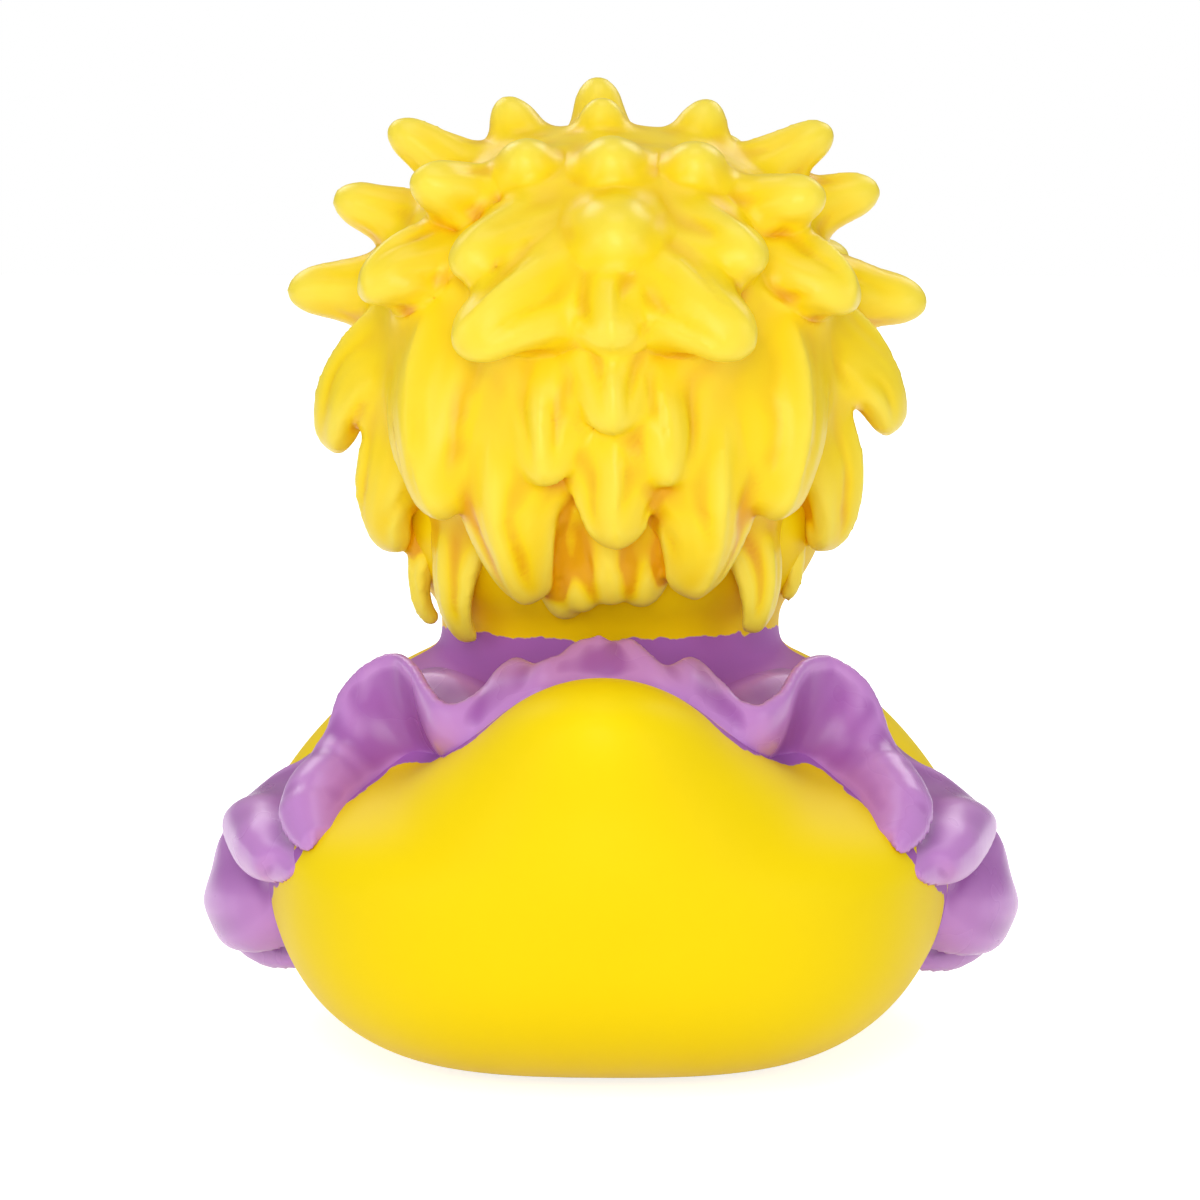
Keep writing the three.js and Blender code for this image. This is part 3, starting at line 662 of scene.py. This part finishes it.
# Below the crown the painted shade grows stronger, all over and in the hollows, the lower the
# hair lies.
LOW_LEVEL = 60.0
LOW_DEPTH = 12.0
shade_low_down = np.clip((LOW_LEVEL - hair_points[:, 2]) / LOW_DEPTH, 0.0, 1.0)
keep_value(hair, "hollow", hollowness(hair) * (0.45 + 0.55 * shade_low_down) + shade_low_down)

coat(hair, painted(
    "hair_paint", paint(255, 222, 20), shade_colour=paint(236, 172, 0), highlight_colour=paint(255, 232, 72),
    amounts=(0.7, 0.5, 0.12), finish=(0.36, 0.3), wave=160.0, grain=0.05, depth=0.12,
))
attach(hair, "root")
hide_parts("duck_shell")


# THE RUFFLE
# A frill of the same moulding, painted purple. Petals that overlap hang from the nape down both
# sides, each a thick curved sheet between its free rim and its root; a wavy skirt goes on round
# the breast, and a low band under them reaches up to the neck.
RIM_STANDS_OUT = 0.3
ROOT_SITS_IN = 1.2


def closed_curve(points, share):
    """A uniform Catmull-Rom curve through a loop of points, at shares 0 to 1 of its way round."""
    count = len(points)
    at = (share % 1.0) * count
    i = np.floor(at).astype(int)
    t = (at - i)[:, None]
    before, here = points[(i - 1) % count], points[i % count]
    after, beyond = points[(i + 1) % count], points[(i + 2) % count]
    bend = 2 * before - 5 * here + 4 * after - beyond
    twist = 3 * here - before - 3 * after + beyond
    return 0.5 * (2 * here + (after - before) * t + bend * t ** 2 + twist * t ** 3)


def open_curve(points, share):
    """A uniform Catmull-Rom curve through a row of points, at shares 0 to 1 of its way."""
    first = 2 * points[:1] - points[1:2]
    last = 2 * points[-1:] - points[-2:-1]
    points = np.concatenate([first, points, last])
    at = np.clip(share, 0.0, 1.0) * (len(points) - 3)
    i = np.minimum(np.floor(at).astype(int), len(points) - 4)
    t = (at - i)[:, None]
    before, here, after, beyond = points[i], points[i + 1], points[i + 2], points[i + 3]
    bend = 2 * before - 5 * here + 4 * after - beyond
    twist = 3 * here - before - 3 * after + beyond
    return 0.5 * (2 * here + (after - before) * t + bend * t ** 2 + twist * t ** 3)


def standing_out(points, distance, at_least=False):
    """Points moved straight out from the body's middle to that distance outside its skin."""
    arm = points - BODY_MIDDLE
    length = np.linalg.norm(arm, axis=-1)
    wanted = body_reach(arm / length[..., None]) + distance
    wanted = np.maximum(length, wanted) if at_least else wanted
    return BODY_MIDDLE + arm * (wanted / length)[..., None]


def mirrored(points):
    """The same points on the other side of the duck."""
    return points * np.array([-1.0, 1.0, 1.0])


def petal(rim, root, bulges, thickness, flutes, depths, along=120, across=40):
    """A thick sheet from a root line on the skin to a free rim. Across it, the height goes by a
    cosine and the thickness by the root of a sine, so that its edges are round, and its middle
    bulges out by a share of its height times a parabola. Small flutes, two sines along it times
    their depth there, grow towards the rim. Both ends close on the skin."""
    share = np.linspace(0.0, 1.0, along)
    rim = standing_out(open_curve(np.array(rim, dtype=float), share), RIM_STANDS_OUT, True)
    root = standing_out(open_curve(np.array(root, dtype=float), share), -ROOT_SITS_IN)
    bulge = open_curve(np.array(bulges, dtype=float)[:, None], share)
    height = rim - root
    run = np.gradient(rim, axis=0) + np.gradient(root, axis=0)
    outward = unit(np.cross(run, height))
    middle_out = (rim + root) / 2 - BODY_MIDDLE
    outward *= np.sign((outward * middle_out).sum())
    turn = np.linspace(0.0, 2 * math.pi, across, endpoint=False)[None, :, None]
    level = (1.0 - np.cos(turn)) / 2
    half = thickness / 2 * np.sign(np.sin(turn)) * np.abs(np.sin(turn)) ** 0.5
    closing = (np.sin(share * math.pi) ** 0.25)[:, None, None]
    swell = bulge[:, None, :] * np.linalg.norm(height, axis=-1)[:, None, None]
    turns = 2 * math.pi * flutes * share
    ripple = np.sin(turns) + 0.6 * np.sin(1.7 * turns + 1.0)
    depth = open_curve(np.array(depths)[:, None], share)
    fluted = (ripple[:, None] * depth)[:, None, :] * level
    off = half * closing + swell * 4 * level * (1.0 - level) + fluted
    grid = root[:, None, :] + height[:, None, :] * level + outward[:, None, :] * off
    grid[[0, -1]] = grid[[0, -1]].mean(axis=1, keepdims=True)
    return grid


# Rims and roots are points in millimetres on the +X side: the nape's from its middle outwards,
# the other petals' from their upper end to the lower one, and the skirt's on to the middle of the
# breast. Bulges are shares of a petal's height, along it in the same order.
nape_rim = [
    (0, 16, 43.4), (2.9, 17, 43.3), (5.7, 20, 41.5), (8.6, 16.5, 41.6), (11.2, 18.2, 39.6),
    (13.2, 20.2, 38.3), (15.2, 20.6, 37.9), (17.2, 18.0, 38.8), (19.3, 12.5, 40.8),
    (21.5, 8.5, 41.0), (24.6, 6.5, 39.2), (26.8, 5.5, 36.3), (28.0, 6, 32.8), (29.5, 7.5, 30.4),
    (31.2, 10, 28.6), (32.2, 13, 26.2), (31.6, 16, 24.3), (29.8, 19.5, 23.2), (28.2, 20.6, 23.4),
    (27.2, 20.2, 24.0),
]
nape_root = [
    (0, 19, 37), (6, 21.5, 36.5), (11.5, 23, 34.8), (15.4, 19, 32.8), (19, 9.5, 31.8),
    (21.5, 9.5, 29.8), (23.3, 11.5, 28.2), (25, 15, 26.6), (26.2, 19, 25), (27, 19.8, 24.3),
]
nape_bulge = [0.0, 0.05, 0.05, 0.1, 0.0, 0.1, 0.25, 0.3, 0.25, 0.2]
shoulder_rim = [
    (28.6, 3, 30.2), (32.6, -5, 27.2), (36.0, -8, 24.0), (38.6, -6.5, 21.8), (38.7, -1, 20.9),
    (37.6, 5, 20.0), (35.6, 9.5, 18.8), (33.2, 12.6, 18.5), (31.0, 15.4, 19.3), (29.2, 18.4, 20.6),
]
shoulder_root = [
    (28.6, 4, 29.4), (29.6, 3, 27.8), (30.2, 4, 26.6), (30.2, 6, 25.6), (30.0, 9, 24.8),
    (29.8, 11.5, 24.0), (29.6, 13.5, 23.2), (29.2, 15.5, 22.6), (28.8, 17.2, 22.0), (28.6, 18.4, 21.4),
]
shoulder_bulge = [0.0, 0.02, 0.04, 0.08, 0.14, 0.2, 0.26, 0.3, 0.2, 0.1]
side_rim = [
    (34, -4, 23.6), (37.6, -9.6, 21.6), (39.8, -9.6, 18.8), (40.8, -9.4, 15.2), (41.0, -10, 12.2),
    (40.4, -9.4, 9.6), (38.6, -6, 8.4), (36, -2, 8.6), (33.4, 1, 9.6),
]
side_root = [
    (33.6, -3, 22.6), (33.4, -1, 20.6), (33.4, 1.5, 18.6), (33.4, 3.5, 16.6), (33.4, 4, 14.6),
    (33.3, 4, 12.8), (33, 3, 11.4), (32.8, 2.4, 10.6), (32.8, 2, 10.2),
]
side_bulge = [0.0, 0.04, 0.08, 0.1, 0.1, 0.08, 0.06]
low_rim = [
    (36, -8, 14), (38.8, -14, 12.4), (39.4, -14, 9.4), (38.0, -11, 7.2), (35.8, -7, 6.4),
    (33.2, -3, 6.8), (31.2, 0, 7.6),
]
low_root = [
    (33.6, -6, 14.6), (33.5, -6, 12.8), (33.2, -5, 11.2), (32.8, -4, 10.0), (32.4, -2.6, 9.2),
    (31.8, -1.2, 8.6), (31.2, 0, 8.2),
]
low_bulge = [0.0, 0.05, 0.1, 0.05]
skirt_rim = [
    (38, -9, 13), (39.4, -16.6, 10.2), (36.9, -17.3, 6.4), (36.5, -23.8, 10.2), (33.8, -26.6, 6.4),
    (30.8, -32.4, 11), (25.5, -33.5, 6.8), (19.8, -37.8, 11.5), (13.7, -36.4, 7.2),
    (7.4, -38.6, 11.9), (3, -37.4, 7.7), (0, -38.2, 8.5),
]
skirt_root = [
    (33.6, -8, 12), (33.3, -12, 10.4), (32.6, -16, 9.8), (31, -20, 9.4), (28.4, -23.6, 9),
    (24.6, -27, 8.6), (20.2, -29.6, 8.2), (15.4, -31.4, 8), (10.4, -32.6, 7.8),
    (6, -33.2, 7.6), (2.6, -33.6, 7.5), (0, -33.8, 7.5),
]

# The band's edges, in hundredths of the body's half width, its half length and the chest's height.
band_unit = np.array([BODY_HALF_WIDTH, BODY_HALF_LENGTH, BODY_MIDDLE[2] + CHEST_RISE]) / 100
band_foot = band_unit * np.array([
    (0, 52, 88), (36, 62, 80), (60, 26, 72), (74, 38, 64), (87, 48, 53), (95, 38, 47),
    (101, 14, 38), (98, 2, 22), (84, -48, 17), (50, -80, 15), (0, -97, 14),
])
band_top = band_unit * np.array([
    (0, 24, 100), (28, 16, 99), (52, -12, 93), (74, -16, 76), (88, -16, 60), (94, -22, 50),
    (95, -34, 40), (92, -46, 34), (78, -68, 30), (46, -88, 28), (0, -97, 27),
])


def both_sides(side):
    """A row of points down the +X side and back up the other, without doubling the middles."""
    side = np.array(side, dtype=float)
    return np.concatenate([side, mirrored(side[-2:0:-1])])


def across_middle(side):
    """A row of points from one side's end through the middle to the other side's end."""
    side = np.array(side, dtype=float)
    return np.concatenate([side[::-1], mirrored(side[1:])])


# The band is a closed ring of five rows: its edges lie a little in the skin, its outside stands
# a little proud, and its inner row is inside the body.
BAND_RELIEF = 0.6
way = np.linspace(0.0, 1.0, 320, endpoint=False)
foot = standing_out(closed_curve(both_sides(band_foot), way), -BAND_RELIEF)
top = standing_out(closed_curve(both_sides(band_top), way), -BAND_RELIEF)
upper = standing_out(top * 0.7 + foot * 0.3, BAND_RELIEF)
lower = standing_out(top * 0.3 + foot * 0.7, BAND_RELIEF)
inside = BODY_MIDDLE + ((top + foot) / 2 - BODY_MIDDLE) * 0.85
band_grid = np.stack([foot, lower, upper, top, inside])
band = several_grids("band", [band_grid], ring=True)
settle(band)

nape_bulges = np.array(nape_bulge[::-1] + nape_bulge[1:])
nape_depths = [0.0, 0.12, 0.1, 0.06, 0.14, 0.3, 0.14, 0.06, 0.1, 0.12, 0.0]
nape = petal(
    across_middle(nape_rim), across_middle(nape_root), nape_bulges,
    thickness=1.8, flutes=25.0, depths=nape_depths, along=360,
)
skirt = petal(
    across_middle(skirt_rim[::-1]), across_middle(skirt_root[::-1]), [0.05, 0.05],
    thickness=1.8, flutes=16.0, depths=[0.0, 0.2, 0.2, 0.2, 0.0], along=320,
)
petals = [nape, skirt]
for rim, root, bulges, thickness, flutes in (
    (shoulder_rim, shoulder_root, shoulder_bulge, 2.0, 3.0),
    (side_rim, side_root, side_bulge, 1.9, 2.6),
    (low_rim, low_root, low_bulge, 1.7, 2.2),
):
    one = petal(rim, root, bulges, thickness, flutes, depths=[0.0, 0.2, 0.2, 0.0])
    petals += [one, mirrored(one)[:, ::-1]]
ruffle = several_grids("ruffle", petals)
settle(ruffle)
with bpy.context.temp_override(active_object=ruffle, selected_editable_objects=[ruffle, band]):
    bpy.ops.object.join()
flow_together(ruffle, voxel=0.4, rounds=4)
fill_creases(ruffle, 10)
# Painted shade in the ruffle's hollows and a painted highlight on its rims and ridges.
keep_value(ruffle, "hollow", hollowness(ruffle))
coat(ruffle, painted(
    "purple_paint", paint(172, 102, 183), shade_colour=paint(148, 82, 156), highlight_colour=paint(204, 142, 214),
    amounts=(0.35, 0.7, 0.12), finish=(0.28, 0.35), wave=120.0, grain=0.04, depth=0.12,
))
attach(ruffle, "root")
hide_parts("duck_shell")

# The brush carries the purple a little past the foot onto the yellow, with a ragged edge, and
# up the neck to a line that slopes down towards the breast. The value kept is how many
# millimetres a point lies inside the purple's edge, and it is negative outside.
PURPLE_PAST_FOOT = 1.0
COLLAR_TOP = 42.4
COLLAR_SLOPE = 0.06
COLLAR_FRONT = -9.0
COLLAR_RADIUS = 27.0
COLLAR_FOOT = 31.0
PURPLE_TOP = 48.0  # nothing this high on the skin is near the band's foot
skin_points = places(skin)
foot_line = closed_curve(both_sides(band_foot), np.linspace(0.0, 1.0, 400, endpoint=False))
foot_line = standing_out(foot_line, 0.0)
from_foot = np.full(len(skin_points), 50.0)
near = np.flatnonzero(skin_points[:, 2] < PURPLE_TOP)
for part in np.array_split(near, 24):
    offset = skin_points[part, None, :] - foot_line[None, :, :]
    from_foot[part] = np.sqrt((offset ** 2).sum(axis=-1).min(axis=1))
on_foot = PURPLE_PAST_FOOT - from_foot
from_axis = np.hypot(skin_points[:, 0], skin_points[:, 1] - HEAD_MIDDLE[1])
sloping = COLLAR_TOP - skin_points[:, 2] - COLLAR_SLOPE * np.maximum(5.0 - skin_points[:, 1], 0.0)
to_the_side = skin_points[:, 1] - COLLAR_FRONT - 0.3 * (from_axis - NECK_RADIUS)
by_collar = (from_axis < COLLAR_RADIUS) & (skin_points[:, 2] > COLLAR_FOOT)
on_collar = np.where(by_collar, np.minimum(sloping, to_the_side), -9.0)
keep_value(skin, "purple_reach", np.maximum(on_foot, on_collar))

nodes, links = skin_paint.node_tree.nodes, skin_paint.node_tree.links
shader = nodes["Principled BSDF"]
yellow = shader.inputs["Base Color"].links[0].from_socket
gloss = shader.inputs["Roughness"].links[0].from_socket
reach_of_paint = nodes.new("ShaderNodeAttribute")
reach_of_paint.attribute_name = "purple_reach"
where = nodes.new("ShaderNodeTexCoord")
ragged = nodes.new("ShaderNodeTexNoise")
ragged.inputs["Scale"].default_value = 260.0
ragged.inputs["Detail"].default_value = 4.0
ragged.inputs["Roughness"].default_value = 0.55
links.new(where.outputs["Object"], ragged.inputs["Vector"])
brushed = nodes.new("ShaderNodeMath")
brushed.operation = "MULTIPLY_ADD"
brushed.inputs[1].default_value = 2.4
links.new(ragged.outputs["Fac"], brushed.inputs[0])
links.new(reach_of_paint.outputs["Fac"], brushed.inputs[2])
covered = nodes.new("ShaderNodeMapRange")
covered.inputs["From Min"].default_value = 1.15
covered.inputs["From Max"].default_value = 1.3
links.new(brushed.outputs["Value"], covered.inputs["Value"])
over = nodes.new("ShaderNodeMix")
over.data_type = "RGBA"
over.inputs[MIX_SECOND].default_value = paint(178, 108, 190)
links.new(covered.outputs["Result"], over.inputs["Factor"])
links.new(yellow, over.inputs[MIX_FIRST])
links.new(over.outputs[MIX_RESULT], shader.inputs["Base Color"])


# THE BILL AND THE EYES
# Plain low relief on the front of the head, which the photograph doesn't show: a small rounded
# bill with a line between its halves, and two oval eyes.
FACE_ROOT = 1.0  # how deep the bill and the eyes are rooted in the face
BILL_LENGTH = 9.6
BILL_HALF_WIDTH = 9.0
BILL_THICKNESS = 3.4
BILL_DROP = 4.5  # below the head's middle
BILL_NARROWING = 0.15  # share of its width lost at the tip
BILL_THINNING = 0.25  # share of its thickness lost at the tip, and gained at the face
BILL_UPTURN = 0.5
SEAM_DEPTH = 0.22
SEAM_WIDTH = 0.09

# An ellipsoid, its width, length and thickness changed by how far forward each point lies, with
# the seam as a bell curve of its height.
bill_directions = sphere_of_directions(rows=60, columns=90)[..., [0, 2, 1]] * np.array([1.0, -1.0, 1.0])
bx, by, bz = np.moveaxis(bill_directions, -1, 0)
forward = np.maximum(-by, 0.0)
seam = SEAM_DEPTH * np.exp(-(bz / SEAM_WIDTH) ** 2)
bill_root = HEAD_MIDDLE + np.array([0.0, FACE_ROOT - HEAD_RADIUS, -BILL_DROP])
bill_grid = bill_root + np.stack([
    bx * BILL_HALF_WIDTH * (1.0 - BILL_NARROWING * forward) * (1.0 - seam * 0.5),
    by * BILL_LENGTH * (1.0 - seam * 0.35),
    bz * BILL_THICKNESS * (1.0 + BILL_THINNING * by) + BILL_UPTURN * forward ** 2,
], axis=-1)
bill = several_grids("bill", [bill_grid])
flow_together(bill, voxel=0.3, rounds=2)
# Painted shade in the bill's hollows and a painted highlight on its ridges.
keep_value(bill, "hollow", hollowness(bill))
coat(bill, painted(
    "orange_paint", paint(250, 140, 20), shade_colour=paint(214, 96, 6), highlight_colour=paint(255, 170, 60),
    amounts=(0.5, 0.4, 0.1), finish=(0.3, 0.4), wave=160.0, grain=0.04, depth=0.08,
))
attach(bill, "root")
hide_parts("duck_shell")


def eye_grid(side, width, height, relief, spread, rise):
    """An ellipsoid whose short axis points out of the head, at a spread and a rise in degrees."""
    out = heading(180.0 - side * spread, rise)
    across = unit(np.cross(np.array([0.0, 0.0, 1.0]), out))
    up = np.cross(out, across)
    ball = sphere_of_directions(rows=40, columns=72)
    middle = HEAD_MIDDLE + out * (HEAD_RADIUS - FACE_ROOT)
    sideways = ball[..., 0:1] * across * width
    upwards = ball[..., 1:2] * up * height
    outwards = ball[..., 2:3] * out * (relief + FACE_ROOT)
    return middle + sideways + upwards + outwards


eyes = several_grids("eyes", [
    eye_grid(side, width=3.6, height=5.0, relief=0.7, spread=19.0, rise=9.0) for side in (-1, 1)
])
settle(eyes)
# Painted shade in the eyes' hollows and a painted highlight on their domes.
keep_value(eyes, "hollow", hollowness(eyes))
coat(eyes, painted(
    "black_paint", paint(22, 20, 22), shade_colour=paint(10, 10, 12), highlight_colour=paint(50, 48, 52),
    amounts=(0.2, 0.2, 0.1), finish=(0.16, 0.5), wave=160.0, grain=0.02, depth=0.04,
))
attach(eyes, "root")
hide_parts("duck_shell")


# THE SQUEAKER
# A stiff plastic cup pressed into the hole in the base, with its reed and the reed's seat. They
# keep the CAD model's own shapes and get a plain moulded finish.
squeaker_paint = painted(
    "squeaker_plastic", paint(240, 236, 226), shade_colour=paint(206, 198, 178), highlight_colour=paint(250, 248, 240),
    amounts=(0.5, 0.3, 0.12), finish=(0.45, 0.4), wave=300.0, grain=0.1, depth=0.05,
)
for node in ("squeaker_housing", "squeaker_reed_seat", "squeaker_reed"):
    for place_for_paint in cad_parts[node].material_slots:
        place_for_paint.material = squeaker_paint


# THE TABLE AND THE LIGHT
# A plain white sweep under soft studio lamps, seen from behind the duck and a little above.
FLOOR_REACH = 900.0
FLOOR_LINES = 7
floor_width = np.linspace(-FLOOR_REACH, FLOOR_REACH, FLOOR_LINES)
fx, fy = np.meshgrid(floor_width, floor_width)
floor_points = np.stack([fx, fy, np.zeros_like(fx)], axis=-1).reshape(-1, 3) * MM
i, j = np.meshgrid(np.arange(FLOOR_LINES - 1), np.arange(FLOOR_LINES - 1))
near_left = (j * FLOOR_LINES + i).ravel()
far_left = near_left + FLOOR_LINES
floor_quads = np.stack([near_left, near_left + 1, far_left + 1, far_left], axis=-1)
floor_mesh = bpy.data.meshes.new("floor")
floor_mesh.from_pydata(floor_points.tolist(), [], floor_quads.tolist())
floor = bpy.data.objects.new("floor", floor_mesh)
bpy.context.scene.collection.objects.link(floor)

floor_paint = bpy.data.materials.new("white_sweep")
floor_paint.use_nodes = True
nodes, links = floor_paint.node_tree.nodes, floor_paint.node_tree.links
plain = nodes["Principled BSDF"]
plain.inputs["Base Color"].default_value = (0.9, 0.9, 0.9, 1.0)
plain.inputs["Roughness"].default_value = 0.9
ray = nodes.new("ShaderNodeLightPath")
seen = nodes.new("ShaderNodeMath")
seen.operation = "MAXIMUM"
links.new(ray.outputs["Is Camera Ray"], seen.inputs[0])
links.new(ray.outputs["Is Glossy Ray"], seen.inputs[1])
glow_level = nodes.new("ShaderNodeMath")
glow_level.operation = "MULTIPLY"
glow_level.inputs[1].default_value = 0.76
links.new(seen.outputs["Value"], glow_level.inputs[0])
plain.inputs["Emission Color"].default_value = (1.0, 1.0, 1.0, 1.0)
links.new(glow_level.outputs["Value"], plain.inputs["Emission Strength"])
floor_mesh.materials.append(floor_paint)

world = bpy.data.worlds.new("studio")
bpy.context.scene.world = world
world.use_nodes = True
nodes, links = world.node_tree.nodes, world.node_tree.links
background = nodes["Background"]
background.inputs["Color"].default_value = (1.0, 1.0, 1.0, 1.0)
ray = nodes.new("ShaderNodeLightPath")
level = nodes.new("ShaderNodeMapRange")
level.inputs["To Min"].default_value = 0.28
level.inputs["To Max"].default_value = 1.0
links.new(ray.outputs["Is Camera Ray"], level.inputs["Value"])
links.new(level.outputs["Result"], background.inputs["Strength"])


def soft_lamp(name, azimuth, elevation, away, size, watts):
    """A square lamp at an azimuth from -Y towards +X, aimed at the duck's middle."""
    light = bpy.data.lights.new(name, "AREA")
    light.size = size
    light.energy = watts
    lamp = bpy.data.objects.new(name, light)
    bpy.context.scene.collection.objects.link(lamp)
    a, e = math.radians(azimuth), math.radians(elevation)
    back = np.array([math.sin(a) * math.cos(e), -math.cos(a) * math.cos(e), math.sin(e)])
    lamp.location = (back * away + np.array([0.0, 0.0, 0.045])).tolist()
    lamp.rotation_euler = (math.pi / 2 - e, 0.0, a)


# Low lamps behind the duck reach under the hair; those in front of it stand higher. Azimuth and
# elevation in degrees, then watts.
for azimuth, elevation, watts in (
    (180, 12, 2.6), (120, 12, 1.0), (240, 12, 1.0), (165, 34, 1.1), (35, 38, 1.6), (-35, 38, 1.6),
):
    soft_lamp("soft_box", azimuth, elevation, away=0.9, size=0.4, watts=watts)
soft_lamp("top", 180.0, 88.0, away=0.9, size=0.5, watts=1.6)

CAMERA_AZIMUTH = 181.3
CAMERA_ELEVATION = 8.0
CAMERA_AWAY = 0.6
CAMERA_AIM = np.array([0.00087, 0.0, 0.0451])
towards_camera = np.array([
    math.sin(math.radians(CAMERA_AZIMUTH)) * math.cos(math.radians(CAMERA_ELEVATION)),
    -math.cos(math.radians(CAMERA_AZIMUTH)) * math.cos(math.radians(CAMERA_ELEVATION)),
    math.sin(math.radians(CAMERA_ELEVATION)),
])
lens = bpy.data.cameras.new("camera")
lens.lens = 180.0
lens.sensor_width = 36.0
camera = bpy.data.objects.new("camera", lens)
bpy.context.scene.collection.objects.link(camera)
camera.location = (CAMERA_AIM + towards_camera * CAMERA_AWAY).tolist()
camera.rotation_euler = (math.radians(90.0 - CAMERA_ELEVATION), 0.0, math.radians(CAMERA_AZIMUTH))
bpy.context.scene.camera = camera
bpy.context.scene.view_settings.view_transform = "Standard"
